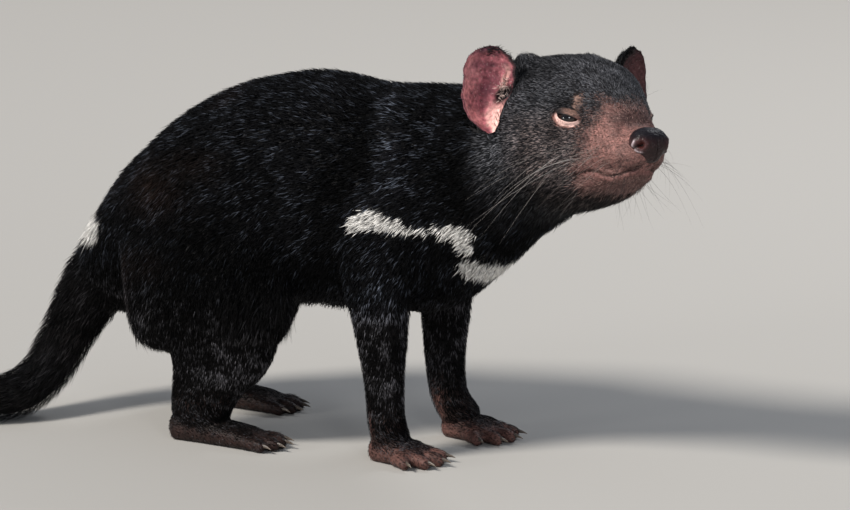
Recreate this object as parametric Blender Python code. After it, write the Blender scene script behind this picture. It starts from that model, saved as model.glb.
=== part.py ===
"""A Tasmanian devil standing on all fours, nose raised and head turned to its right, at life size.

The body is a set of round lofts (trunk and neck, head, jaw, legs, feet, toes and tail) fused into one closed
surface at the coat's tips, which thin cuts then part into the pieces a person would name. Ears, eyes and
claws are solids of their own. Tables are in millimetres of an adult with the head-body length below.
+X is forward, +Y is to the animal's left, +Z is up, and the floor is z = 0.
"""

import math

import bmesh
import bpy
import numpy as np
from mathutils import Matrix, Vector

# Driving dimensions
HEAD_BODY_LENGTH = 0.570  # nose tip to tail root along the back, metres
TABLE_LENGTH = 570.0  # the same length in the tables' own millimetres
MM = HEAD_BODY_LENGTH / TABLE_LENGTH  # one table millimetre, in metres

# How fine the solids are
VOXEL = 2.4  # grid that fuses the lofts
SMOOTHING, BLENDING = 3, 18  # smoothing passes over all of it, and more over the body and upper legs
FLESH_TRIANGLES = 2750  # all fused flesh together
FINE_SHARE = 0.25  # how readily triangles on the head and feet are given up, against 1 elsewhere
DETAIL_PULL = 5e-5  # strength of that difference
GAP = 0.3  # between neighbouring solids

# Head pose: the head's own frame has +X to the nose, +Y to its left, +Z to the crown
HEAD_AT = (118.5, -17.0, 238.0)
HEAD_YAW = -27.0  # to its right
HEAD_PITCH = 10.0  # nose up
HEAD_ROLL = -6.5  # left ear lower

# Trunk and neck: centre x, y, z, half width, height above and depth below the centre
TRUNK = {
    "tail root": (-257, 0, 100, 30, 29, 36),
    "pelvis": (-236, 0, 125, 47, 36, 50),
    "rump": (-206, 0, 150, 59, 48, 56),
    "loin": (-165, 0, 168, 66, 65.5, 67),
    "belly": (-120, 0, 178, 70, 78.5, 78),
    "last ribs": (-75, 0, 181, 70, 84, 81),
    "ribs": (-35, 0, 180, 66, 82, 82),
    "shoulders": (0, 0, 183, 62, 80, 83),
    "neck root": (32, -1, 192, 58, 76, 67),
    "neck": (62, -5, 205, 57, 66, 53),
    "throat": (90, -11, 219, 57, 58, 46),
    "nape": (116, -18, 230, 53, 50, 43),
}

# Head above the mouth: along x, half width, top, bottom, height of the widest line
HEAD = {
    "nape": (-50, 42, 38, -42, -4),
    "occiput": (-33, 52, 48, -50, -6),
    "ears": (-10, 59, 55, -53, -9),
    "jaw angle": (12, 58, 55, -50, -11),
    "temple": (31, 48.5, 51, -45, -12),
    "brow": (46, 36, 42, -38, -13),
    "stop": (60, 27, 30, -31, -14),
    "bridge": (74, 21.5, 20.5, -27, -14),
    "snout": (84, 18, 12, -24, -12.5),
    "nose back": (89.5, 14.5, 7, -21.5, -10),
}
HEAD_ROUND_ABOVE, HEAD_ROUND_BELOW = 2.55, 2.1  # 2 is an ellipse and more is boxier

# Lower jaw, in the head's frame, with the same columns
JAW = {
    "jaw root": (0, 40, -20, -52, -36),
    "jaw middle": (32, 33, -22, -46, -34),
    "cheek corner": (56, 24.5, -20, -39.5, -30),
    "lip": (72, 17.5, -19, -33.5, -26.5),
    "chin": (82, 11.5, -18, -29.5, -24.5),
}

# Nose pad, in the head's frame
NOSE = {
    "nose root": (87, 13, 5.5, -20, -8.5),
    "nostrils": (94, 14.3, 4.2, -22, -9),
    "nose tip": (100.4, 10.8, 0.4, -18.8, -9.4),
}
NOSE_CUT = (87.5, -20.5)  # the pad is parted behind the first and under the second
MOUTH_CORNER, MOUTH_FRONT = (46.0, -30.0), (97.0, -22.0)  # along x and height of the mouth line

# Legs: centre x, y outwards, z, half width, reach to the front and to the back
FORELEG = {
    "shoulder blade": (-20, 30, 228, 14, 24, 28),
    "shoulder": (-14, 41.5, 192, 22, 34, 40),
    "upper arm": (-9, 48, 155, 24, 34, 38),
    "elbow": (-13, 50, 124, 21, 26, 27),
    "forearm": (-12, 49, 104, 18.5, 21.5, 20),
    "mid forearm": (-11, 47, 76, 16, 17, 16.5),
    "low forearm": (-10, 45, 50, 14, 15, 14.5),
    "wrist": (-9, 44, 29, 12.5, 13.5, 14),
    "palm root": (-6, 44, 15, 13.5, 14, 13.5),
}
HINDLEG = {
    "hip": (-184, 31, 198, 17, 28, 26),
    "buttock": (-180, 43, 166, 27, 56, 44),
    "thigh": (-168, 49, 136, 31, 80, 55),
    "knee": (-152, 53, 109, 30, 82, 62),
    "low thigh": (-143, 55, 86, 26, 64, 58),
    "shank": (-140, 55, 66, 21.5, 46, 42),
    "low shank": (-144, 54, 50, 18, 30, 32),
    "ankle": (-150, 53, 34, 15.5, 24, 26),
    "heel root": (-154, 53, 18, 14, 22, 22),
}

# Feet: along x from the leg's foot centre, y outwards, z, half width, height above and depth below
FORE_PALM = {
    "palm heel": (-19, 0, 9, 11, 8, 9),
    "palm": (-6, 0, 9, 15, 9, 9),
    "toe roots": (9, 0, 8.5, 17, 7.5, 8.5),
    "palm end": (16, 0, 7.5, 14, 5.5, 7),
}
HIND_SOLE = {
    "heel": (-38, 0, 9.5, 11, 11, 9.5),
    "sole": (-18, 0, 9.5, 12.5, 11, 9.5),
    "instep": (4, 0, 8.5, 14.5, 9, 8.5),
    "toe roots": (22, 0, 7.5, 15, 6.5, 7.5),
    "sole end": (29, 0, 7, 12, 5, 6.5),
}
FORE_TOES = {  # toe: root x, root y, turn outwards in degrees, length, radius
    "one": (3, -13.5, -34, 14, 5.0),
    "two": (11, -9.2, -13, 16, 5.2),
    "three": (13, -0.3, 0, 17.5, 5.4),
    "four": (11, 8.8, 13, 16, 5.2),
    "five": (3, 13.5, 33, 14, 5.0),
}
HIND_TOES = {
    "two": (23, -11.0, -11, 15, 5.0),
    "three": (26, -3.8, -4, 17, 5.2),
    "four": (26, 3.8, 4, 17, 5.2),
    "five": (22, 11.0, 12, 15, 5.0),
}
FORE_CENTRE_X, FORE_CENTRE_Y = 2.0, 44.0
HIND_CENTRE_X, HIND_CENTRE_Y = -133.0, 53.0
# Each leg leaves the table's place by this much forward at the foot, from nothing at the first height
# down to all of it at the second
FORE_STEP = {"right": 0.0, "left": 11.0}
FORE_STEP_FROM, FORE_STEP_TO = 42.0, 8.0
HIND_STEP = {"right": 0.0, "left": -45.0}
HIND_STEP_FROM, HIND_STEP_TO = 190.0, 100.0
# Share of a backward step that the thigh's rear doesn't follow, from this height up, over this much
TUCK, TUCK_FROM, TUCK_OVER = 0.75, 58.0, 40.0
SOLE_CUT = 1.2  # the soles' flat is this far up from their round underside
TOE_HEIGHT = 5.6  # centre of a toe's knuckle above the floor
CLAW_LENGTH, CLAW_RADIUS, CLAW_CURL = 10.5, 1.7, 34.0

# Tail: centre x, y, z, radius; its last half lies on the floor
TAIL = {
    "tail inside": (-238, 0, 126, 27),
    "tail root": (-260, -2, 101, 30),
    "upper tail": (-276, -8, 76, 24.5),
    "middle tail": (-285, -21, 51, 21.5),
    "tail bend": (-290, -36, 34, 20),
    "low tail": (-298, -55, 22, 19),
    "tail lying": (-316, -76, 18, 17.5),
    "tail end": (-340, -92, 15.5, 15),
    "tail brush": (-366, -103, 12.5, 11.5),
    "tail tip": (-389, -111, 9.5, 7),
}

# Eyes and ears, in the head's frame, for the left side
EYE_AT, EYE_RADIUS = (42.6, 30.2, 11.0), 7.2
EYE_FACES = 57.0  # degrees outwards of straight ahead
LID_SIZE, LID_OUT = (3.6, 9.2, 4.6), 6.2  # hollow that bares the eye: depth, length, height, and how far out
BROW_AT, BROW_SIZE = (41.0, 22.5, 24.0), (14.0, 9.0, 7.5)
EAR_BASE_AT, EAR_BASE_SIZE = (-12.0, 34.0, 37.5), (19.0, 18.5, 19.5)
EAR_ROOT, EAR_TIP = (0.0, 51.0, -1.0), (-9.0, 66.0, 59.0)
EAR_FACES = 31.0  # degrees outwards of straight ahead
EAR_THICK = 3.2
# Share of the ear's height, reach outwards, reach inwards, depth of the cup
EAR = {
    "root": (0.0, 6, 5, 9),
    "lobe": (0.1, 13.5, 7, 12),
    "low fold": (0.2, 17.5, 9, 14),
    "low cup": (0.36, 19.5, 13, 14.5),
    "middle": (0.52, 19.8, 18, 13),
    "widest": (0.65, 18.8, 20, 11),
    "high": (0.78, 16.8, 18.5, 8.5),
    "shoulder": (0.89, 13, 14.5, 6),
    "top": (0.965, 8, 9.5, 3.5),
    "tip": (0.995, 3.5, 4.5, 2),
}

# Thin cuts: a point and the direction that the cut looks along
NECK_CUT = ((30.0, 0.0, 195.0), (0.85, 0.0, 0.52))
HEAD_CUT = ((82.0, -8.0, 222.0), (0.83, -0.25, 0.5))
TAIL_CUT = ((-258.0, -1.0, 97.0), (-0.42, -0.12, -0.9))
TAIL_MIDDLE_CUT = ((-285.0, -25.0, 46.0), (-0.3, -0.6, -0.75))
TAIL_END_CUT = ((-318.0, -78.0, 18.0), (-0.76, -0.64, -0.06))
# Where each leg leaves the trunk: centre x and z, half length, height of the arch above it, inner |y|
FORELEG_ARCH = (-11.0, 150.0, 50.0, 42.0, 24.0)
HINDLEG_ARCH = (-161.0, 128.0, 80.0, 58.0, 25.0)
ARCH_FLARE = 22.0  # and how much longer it is near the floor
ELBOW_CUT, WRIST_CUT = 113.0, 23.0  # heights of the foreleg's cuts
KNEE_CUT, ANKLE_CUT = 84.0, 24.0  # and of the hind leg's

COAT = (0.018, 0.017, 0.018)
NOSE_SKIN = (0.05, 0.03, 0.035)
EAR_SKIN = (0.42, 0.20, 0.19)
HORN = (0.16, 0.13, 0.11)
EYE_DARK = (0.012, 0.008, 0.006)


def hermite(rows, count):
    """count rows on a smooth curve through the given rows, spaced by the distance between their centres."""
    rows = np.array(rows, float)
    steps = np.linalg.norm(np.diff(rows[:, :3], axis=0), axis=1)
    knots = np.concatenate([[0.0], np.cumsum(steps)])
    slopes = np.gradient(rows, knots, axis=0)
    at = np.linspace(0.0, knots[-1], count)
    k = np.clip(np.searchsorted(knots, at, side="right") - 1, 0, len(rows) - 2)
    width = (knots[k + 1] - knots[k])[:, None]
    t = (at - knots[k])[:, None] / width
    return (
        (2 * t**3 - 3 * t**2 + 1) * rows[k]
        + (t**3 - 2 * t**2 + t) * width * slopes[k]
        + (3 * t**2 - 2 * t**3) * rows[k + 1]
        + (t**3 - t**2) * width * slopes[k + 1]
    )


def loft(rows, up, rings=28, sides=32, cap=0.55, square=2.0, square_below=None, name="loft"):
    """A closed tube through rows of centre, half width, reach along up and reach against it.

    Each ring is a superellipse across the path. Both ends close as domes, cap times the ring's size deep."""
    line = hermite(rows, rings)
    centres, half, above, below = line[:, :3], line[:, 3], line[:, 4], line[:, 5]
    along = np.gradient(centres, axis=0)
    along /= np.linalg.norm(along, axis=1)[:, None]
    side = np.cross(np.array(up, float), along)
    side /= np.linalg.norm(side, axis=1)[:, None]
    lift = np.cross(along, side)
    turn = np.linspace(0.0, 2 * math.pi, sides, endpoint=False)
    c, s = np.cos(turn), np.sin(turn)
    power = np.where(s > 0, 2 / square, 2 / (square_below or square))
    across = np.sign(c) * np.abs(c) ** power
    high = np.sign(s) * np.abs(s) ** power
    reach = np.where(high[None, :] > 0, above[:, None], below[:, None])
    ring = (
        centres[:, None, :]
        + side[:, None, :] * (half[:, None] * across)[:, :, None]
        + lift[:, None, :] * (reach * high)[:, :, None]
    )
    domes = []
    for end, sign in ((0, -1.0), (-1, 1.0)):
        depth = cap * min(half[end], (above[end] + below[end]) / 2)
        for share in (0.35, 0.65, 0.88):
            shrink = math.sqrt(1.0 - share**2)
            shift = along[end] * sign * depth * share
            domes.append((end, centres[end] + (ring[end] - centres[end]) * shrink + shift))
        domes.append((end, centres[end] + along[end] * sign * depth))
    start = [d for end, d in domes if end == 0]
    finish = [d for end, d in domes if end == -1]
    loops = start[2::-1] + list(ring) + finish[:3]
    return tube_mesh(loops, start[3], finish[3], name)


def tube_mesh(loops, first_pole, last_pole, name):
    """A closed mesh of rings bridged one to the next, with a fan of faces to a pole at each end."""
    bm = bmesh.new()
    rings = [[bm.verts.new(Vector(p) * MM) for p in loop] for loop in loops]
    for lower, upper in zip(rings, rings[1:]):
        for i, corner in enumerate(lower):
            j = (i + 1) % len(lower)
            bm.faces.new((corner, lower[j], upper[j], upper[i]))
    for ring, pole, flip in ((rings[0], first_pole, True), (rings[-1], last_pole, False)):
        tip = bm.verts.new(Vector(pole) * MM)
        for i, corner in enumerate(ring):
            following = ring[(i + 1) % len(ring)]
            bm.faces.new((following, corner, tip) if flip else (corner, following, tip))
    bmesh.ops.recalc_face_normals(bm, faces=bm.faces)
    return new_object(name, bm)


def new_object(name, bm):
    mesh = bpy.data.meshes.new(name)
    bm.to_mesh(mesh)
    bm.free()
    made = bpy.data.objects.new(name, mesh)
    bpy.context.scene.collection.objects.link(made)
    return made


def head_matrix():
    """Places the head's frame in the body's."""
    turn = (
        Matrix.Rotation(math.radians(HEAD_YAW), 4, "Z")
        @ Matrix.Rotation(math.radians(-HEAD_PITCH), 4, "Y")
        @ Matrix.Rotation(math.radians(HEAD_ROLL), 4, "X")
    )
    return Matrix.Translation(Vector(HEAD_AT) * MM) @ turn


def placed(made, matrix):
    made.data.transform(matrix)
    return made


def head_rows(table):
    """Loft rows from along, half width, top, bottom and widest height."""
    return [
        (x, 0.0, wide, half, top - wide, wide - bottom)
        for x, half, top, bottom, wide in table.values()
    ]


def ball(centre, size, name="ball", segments=24, rings=14):
    bm = bmesh.new()
    bmesh.ops.create_uvsphere(bm, u_segments=segments, v_segments=rings, radius=1.0)
    bmesh.ops.transform(bm, matrix=Matrix.Diagonal((*[s * MM for s in size], 1.0)), verts=bm.verts)
    bmesh.ops.translate(bm, vec=Vector(centre) * MM, verts=bm.verts)
    return new_object(name, bm)


def head_pieces():
    """Skull and snout, lower jaw, nose pad and brow ridges, which fuse with the body."""
    place = head_matrix()
    pieces = [
        placed(loft(head_rows(HEAD), (0, 0, 1), 34, 40, 0.5, HEAD_ROUND_ABOVE, HEAD_ROUND_BELOW), place),
        placed(loft(head_rows(JAW), (0, 0, 1), 24, 32, 0.45, 2.2), place),
        placed(loft(head_rows(NOSE), (0, 0, 1), 14, 28, 0.45, 2.3), place),
    ]
    for (x, y, z), size in ((BROW_AT, BROW_SIZE), (EAR_BASE_AT, EAR_BASE_SIZE)):
        for side in (-1, 1):
            pieces.append(placed(ball((x, y * side, z), size), place))
    return pieces


def leg_pieces(side):
    """Both legs of one side, with their feet and toes."""
    sign = 1.0 if side == "left" else -1.0
    pieces = []
    for table, step, start, finish in (
        (FORELEG, FORE_STEP[side], FORE_STEP_FROM, FORE_STEP_TO),
        (HINDLEG, HIND_STEP[side], HIND_STEP_FROM, HIND_STEP_TO),
    ):
        rows = []
        for x, y, z, half, front, back in table.values():
            share = min(1.0, max(0.0, (start - z) / (start - finish)))
            swing = step * ease(share)
            tucked = TUCK * min(0.0, swing) * min(1.0, max(0.0, (z - TUCK_FROM) / TUCK_OVER))
            rows.append((x + swing, sign * y, z, half, front, back + tucked))
        pieces.append(loft(rows, (1, 0, 0), 30, 32, 0.5, 2.1))
    for palm, toes, centre_x, centre_y in (
        (FORE_PALM, FORE_TOES, FORE_CENTRE_X + FORE_STEP[side], FORE_CENTRE_Y),
        (HIND_SOLE, HIND_TOES, HIND_CENTRE_X + HIND_STEP[side], HIND_CENTRE_Y),
    ):
        rows = [
            (centre_x + x, sign * (centre_y + y), z, half, up, down)
            for x, y, z, half, up, down in palm.values()
        ]
        pieces.append(loft(rows, (0, 0, 1), 14, 24, 0.5, 2.4))
        for x, y, turn, length, radius in toes.values():
            start, finish = toe_line(centre_x, centre_y, sign, x, y, turn, length)
            middle = (start + finish) / 2 + Vector((0, 0, 0.8))
            toe = [
                (*start, radius, radius, radius),
                (*middle, radius * 0.98, radius * 0.95, radius),
                (*finish, radius * 0.86, radius * 0.8, radius * 0.9),
            ]
            pieces.append(loft(toe, (0, 0, 1), 10, 14, 0.8))
    return pieces


def ease(share):
    """0 to 1 with a level start and end."""
    return share * share * (3.0 - 2.0 * share)


def toe_line(centre_x, centre_y, sign, x, y, turn, length):
    """Both ends of a toe's centre line."""
    angle = math.radians(turn)
    start = Vector((centre_x + x, sign * (centre_y + y), TOE_HEIGHT + 0.6))
    ahead = Vector((math.cos(angle), sign * math.sin(angle), 0.0))
    return start, start + ahead * length - Vector((0, 0, 0.7))


def fused(pieces, name):
    """One closed surface round overlapping pieces, with flat soles at z = 0."""
    target = pieces[0]
    joined = bmesh.new()
    for piece in pieces:
        joined.from_mesh(piece.data)
        if piece is not target:
            bpy.data.objects.remove(piece)
    joined.to_mesh(target.data)
    joined.free()
    target.name = name
    remesh = target.modifiers.new("Fuse", "REMESH")
    remesh.mode = "VOXEL"
    remesh.voxel_size = VOXEL * MM
    soften = target.modifiers.new("Soften", "SMOOTH")
    soften.factor = 0.5
    soften.iterations = SMOOTHING
    apply_modifiers(target)
    coarse = target.vertex_groups.new(name="Coarse")
    plain = target.vertex_groups.new(name="Plain")
    inverse = head_matrix().inverted()
    for vertex in target.data.vertices:
        ahead = (inverse @ vertex.co).x / MM if vertex.co.z > 150 * MM else -100.0
        on_head = min(1.0, max(0.0, (ahead + 38.0) / 25.0))
        on_foot = min(1.0, max(0.0, (42.0 - vertex.co.z / MM) / 16.0)) if vertex.co.x > -230 * MM else 0.0
        fine = max(on_head, on_foot)
        coarse.add([vertex.index], 1.0 - (1.0 - FINE_SHARE) * fine, "REPLACE")
        plain.add([vertex.index], 1.0 - fine, "REPLACE")
    blend = target.modifiers.new("Blend", "SMOOTH")
    blend.factor = 0.5
    blend.iterations = BLENDING
    blend.vertex_group = "Plain"
    thin = target.modifiers.new("Thin out", "DECIMATE")
    thin.ratio = FLESH_TRIANGLES / (2 * len(target.data.polygons))
    thin.vertex_group = "Coarse"
    thin.vertex_group_factor = DETAIL_PULL
    apply_modifiers(target)
    flatten_soles(target)
    return target


def flatten_soles(target):
    """Slices the underside off at the floor, so that feet and tail stand on small flats."""
    bm = bmesh.new()
    bm.from_mesh(target.data)
    floor = Vector((0, 0, SOLE_CUT * MM))
    everything = bm.verts[:] + bm.edges[:] + bm.faces[:]
    cut = bmesh.ops.bisect_plane(bm, geom=everything, plane_co=floor, plane_no=(0, 0, -1), clear_outer=True)
    rim = [e for e in cut["geom_cut"] if isinstance(e, bmesh.types.BMEdge)]
    bmesh.ops.holes_fill(bm, edges=rim, sides=0)
    bmesh.ops.translate(bm, vec=-floor, verts=bm.verts)
    bmesh.ops.triangulate(bm, faces=bm.faces)
    bm.to_mesh(target.data)
    bm.free()


def apply_modifiers(made):
    """Keeps the shape that the modifiers give and drops them."""
    bpy.context.view_layer.update()
    graph = bpy.context.evaluated_depsgraph_get()
    shape = bpy.data.meshes.new_from_object(made.evaluated_get(graph))
    made.modifiers.clear()
    made.data = shape
    made.data.name = made.name


def boolean(target, cutter, operation, name=None):
    """A new object with the solid that target and cutter give."""
    made = bpy.data.objects.new(name or target.name, target.data.copy())
    bpy.context.scene.collection.objects.link(made)
    cut = made.modifiers.new("Cut", "BOOLEAN")
    cut.operation = operation
    cut.solver = "EXACT"
    cut.object = cutter
    apply_modifiers(made)
    return made


def parted(target, inside, cutter, grown):
    """Splits target into the solid inside cutter and what is outside grown, and drops the helpers."""
    piece = boolean(target, cutter, "INTERSECT")
    rest = boolean(target, grown, "DIFFERENCE")
    name = target.name
    for helper in (target, cutter, grown):
        bpy.data.objects.remove(helper)
    piece.name, rest.name = inside, name
    keep_largest(piece)
    keep_largest(rest)
    return rest, piece


def halves(target, ahead_name, point, direction):
    """Cuts target with a plane and names what lies ahead of it."""
    direction = Vector(direction).normalized()
    pieces = []
    for sign in (1.0, -1.0):
        bm = bmesh.new()
        bm.from_mesh(target.data)
        at = (Vector(point) + direction * (sign * GAP / 2)) * MM
        everything = bm.verts[:] + bm.edges[:] + bm.faces[:]
        cut = bmesh.ops.bisect_plane(
            bm, geom=everything, plane_co=at, plane_no=direction * -sign, clear_outer=True
        )
        rim = [e for e in cut["geom_cut"] if isinstance(e, bmesh.types.BMEdge)]
        bmesh.ops.holes_fill(bm, edges=rim, sides=0)
        bmesh.ops.triangulate(bm, faces=bm.faces)
        pieces.append(new_object(target.name, bm))
    name = target.name
    bpy.data.objects.remove(target)
    pieces[0].name, pieces[1].name = ahead_name, name
    for piece in pieces:
        keep_largest(piece)
    return pieces[1], pieces[0]


def keep_largest(made):
    """Drops crumbs, so that a node is one body."""
    bm = bmesh.new()
    bm.from_mesh(made.data)
    bmesh.ops.remove_doubles(bm, verts=bm.verts, dist=1e-6)
    bmesh.ops.triangulate(bm, faces=bm.faces)
    left, groups = set(bm.verts), []
    while left:
        stack, group = [left.pop()], []
        while stack:
            vertex = stack.pop()
            group.append(vertex)
            for edge in vertex.link_edges:
                other = edge.other_vert(vertex)
                if other in left:
                    left.discard(other)
                    stack.append(other)
        groups.append(group)
    groups.sort(key=len)
    for group in groups[:-1]:
        bmesh.ops.delete(bm, geom=group, context="VERTS")
    bm.to_mesh(made.data)
    bm.free()


def box(low, high, name="box"):
    """An upright box between two corners, in table millimetres."""
    bm = bmesh.new()
    bmesh.ops.create_cube(bm, size=1.0)
    low, high = Vector(low), Vector(high)
    bmesh.ops.transform(bm, matrix=Matrix.Diagonal((*((high - low) * MM), 1.0)), verts=bm.verts)
    bmesh.ops.translate(bm, vec=(low + high) / 2 * MM, verts=bm.verts)
    return new_object(name, bm)


def arch(centre_x, spring, half, rise, inner, sign, grow):
    """A tombstone outline round a leg, run outwards along y from the inner plane."""
    flare = half + grow + ARCH_FLARE
    outline = [(centre_x - flare, 70.0), (centre_x - flare, -30.0)]
    outline += [(centre_x + flare, -30.0), (centre_x + flare, 70.0)]
    for i in range(17):
        angle = math.pi * i / 16
        outline.append(
            (centre_x + (half + grow) * math.cos(angle), spring + (rise + grow) * math.sin(angle))
        )
    bm = bmesh.new()
    near = [bm.verts.new(Vector((x, sign * (inner - grow), z)) * MM) for x, z in outline]
    far = [bm.verts.new(Vector((x, sign * 140.0, z)) * MM) for x, z in outline]
    bm.faces.new(near)
    bm.faces.new(far)
    for i, corner in enumerate(near):
        j = (i + 1) % len(near)
        bm.faces.new((corner, near[j], far[j], far[i]))
    bmesh.ops.recalc_face_normals(bm, faces=bm.faces)
    return new_object("arch", bm)


def part_tail(body):
    """The tail leaves the body at a slanted plane that stops short of the thighs."""
    point, direction = Vector(TAIL_CUT[0]), Vector(TAIL_CUT[1]).normalized()
    across = Vector((0, 1, 0)).cross(direction).normalized()
    side = direction.cross(across)
    turn = Matrix((across, side, direction)).transposed().to_4x4()
    cutters = []
    for grow in (0.0, GAP):
        block = box((-60 - grow, -160 - grow, -grow), (150 + grow, 100 + grow, 300 + grow))
        cutters.append(placed(block, Matrix.Translation(point * MM) @ turn))
    return parted(body, "tail_root", *cutters)


def ear(sign, name):
    """A cupped shell: rings of front and back points from the root up to the tip, in the head's frame."""
    root = Vector((EAR_ROOT[0], sign * EAR_ROOT[1], EAR_ROOT[2]))
    tip = Vector((EAR_TIP[0], sign * EAR_TIP[1], EAR_TIP[2]))
    up = (tip - root).normalized()
    angle = math.radians(EAR_FACES)
    faces = Vector((math.cos(angle), sign * math.sin(angle), 0.0))
    faces = (faces - up * faces.dot(up)).normalized()
    out = up.cross(faces) * sign
    height = (tip - root).length
    loops = []
    table = np.array(list(EAR.values()), float)
    shares = 1.0 - np.linspace(1.0, 0.0, 12) ** 1.35 * 0.995
    steps = 9
    for share in shares:
        outer, inner, depth = (np.interp(share, table[:, 0], table[:, k]) for k in (1, 2, 3))
        front, back = [], []
        for i in range(steps + 1):
            s = -math.cos(math.pi * i / steps)
            half = outer if s > 0 else inner
            level = depth * (1 - s * s)
            slope = Vector((2 * depth * s, -(outer + inner) / 2)).normalized()
            thick = EAR_THICK * math.sqrt(max(0.0, 1 - s**4)) * min(1.0, (1.04 - share) * 4)
            base = root + up * (height * share)
            front.append(base + out * (s * half) - faces * level)
            back.append(
                base + out * (s * half + slope.x * thick) - faces * (level - slope.y * thick)
            )
        loops.append(front + back[-2:0:-1])
    poles = [sum(loop, Vector()) / len(loop) for loop in (loops[0], loops[-1])]
    made = tube_mesh(loops, poles[0] - up * 0.5, poles[1] + up * 0.4, name)
    return placed(made, head_matrix())


def grown(made, by):
    """Moves a surface out along its own normals."""
    bm = bmesh.new()
    bm.from_mesh(made.data)
    bm.normal_update()
    shifts = [vertex.normal * (by * MM) for vertex in bm.verts]
    for vertex, shift in zip(bm.verts, shifts):
        vertex.co += shift
    copy = new_object(made.name + "_grown", bm)
    return copy


def cut_away(target, cutter):
    """Takes cutter's solid out of target, which keeps its name."""
    name = target.name
    rest = boolean(target, cutter, "DIFFERENCE")
    bpy.data.objects.remove(target)
    bpy.data.objects.remove(cutter)
    rest.name = name
    keep_largest(rest)
    return rest


def eye_and_socket(head, sign, name):
    """A whole eyeball in a socket, bared by a long hollow."""
    place = head_matrix()
    x, y, z = EYE_AT
    centre = Vector((x, sign * y, z))
    turn = Matrix.Rotation(math.radians(sign * EYE_FACES), 4, "Z")
    hollow = ball((0, 0, 0), LID_SIZE, segments=14, rings=8)
    out = turn @ Vector((LID_OUT, 0, 0))
    placed(hollow, place @ Matrix.Translation((centre + out) * MM) @ turn)
    head = cut_away(head, hollow)
    radius = EYE_RADIUS + GAP
    head = cut_away(head, placed(ball(centre, (radius,) * 3, "socket", 16, 9), place))
    eye = placed(ball(centre, (EYE_RADIUS,) * 3, name, 16, 9), place)
    return head, eye


def claw(start, heading, grow, name):
    """A curved cone that leaves the toe level and turns down."""
    ahead = Vector((math.cos(heading), math.sin(heading), 0.0))
    side = Vector((-ahead.y, ahead.x, 0.0))
    point, loops, steps = Vector(start) - ahead * grow, [], 3
    length = CLAW_LENGTH + grow
    for i in range(steps + 1):
        share = i / steps
        tilt = math.radians(8.0 - CLAW_CURL * share)
        along = ahead * math.cos(tilt) + Vector((0, 0, math.sin(tilt)))
        high = along.cross(side) * -1.0
        radius = CLAW_RADIUS * (1.0 - 0.86 * share**1.3) + grow
        ring = []
        for k in range(6):
            angle = 2 * math.pi * k / 6
            ring.append(
                point + side * (0.8 * radius * math.cos(angle)) + high * (1.15 * radius * math.sin(angle))
            )
        loops.append(ring)
        point = point + along * (length / steps)
    first = sum(loops[0], Vector()) / 6
    last = sum(loops[-1], Vector()) / 6
    return tube_mesh(loops, first - ahead * 0.3, last + along * 0.4, name)


def foot_claws(feet):
    """Claws of all four feet, each in a socket in its toe."""
    claws = []
    for foot, toes, centre_x, centre_y, word in (
        ("forefoot", FORE_TOES, FORE_CENTRE_X, FORE_CENTRE_Y, "fore"),
        ("hindfoot", HIND_TOES, HIND_CENTRE_X, HIND_CENTRE_Y, "hind"),
    ):
        for side, sign in (("left", 1.0), ("right", -1.0)):
            step = (FORE_STEP if word == "fore" else HIND_STEP)[side]
            flesh = feet[foot + "_" + side]
            for toe, (x, y, turn, length, _) in toes.items():
                start, finish = toe_line(centre_x + step, centre_y, sign, x, y, turn, length)
                heading = math.atan2(finish.y - start.y, finish.x - start.x)
                ahead = (finish - start).normalized()
                root = finish - ahead * 1.5 + Vector((0, 0, 0.9 - SOLE_CUT))
                flesh = cut_away(flesh, claw(root, heading, GAP, "socket"))
                claws.append(claw(root, heading, 0.0, f"claw_{word}_{side}_{toe}"))
            feet[foot + "_" + side] = flesh
    return claws


def centred(made):
    """Puts the middle of the whole animal's box over the origin."""
    points = np.array([tuple(v.co) for piece in made for v in piece.data.vertices])
    low, high = points.min(axis=0), points.max(axis=0)
    shift = Vector((-(low[0] + high[0]) / 2, -(low[1] + high[1]) / 2, -low[2]))
    for piece in made:
        placed(piece, Matrix.Translation(shift))
    print("tables moved by", [round(v / MM, 2) for v in shift])


def shaded(made, look):
    """Smooth faces with one material."""
    made.data.materials.clear()
    made.data.materials.append(look)
    for face in made.data.polygons:
        face.use_smooth = True


def material(name, colour, roughness):
    made = bpy.data.materials.new(name)
    made.use_nodes = True
    shader = made.node_tree.nodes["Principled BSDF"]
    shader.inputs["Base Color"].default_value = (*colour, 1.0)
    shader.inputs["Roughness"].default_value = roughness
    return made


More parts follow.
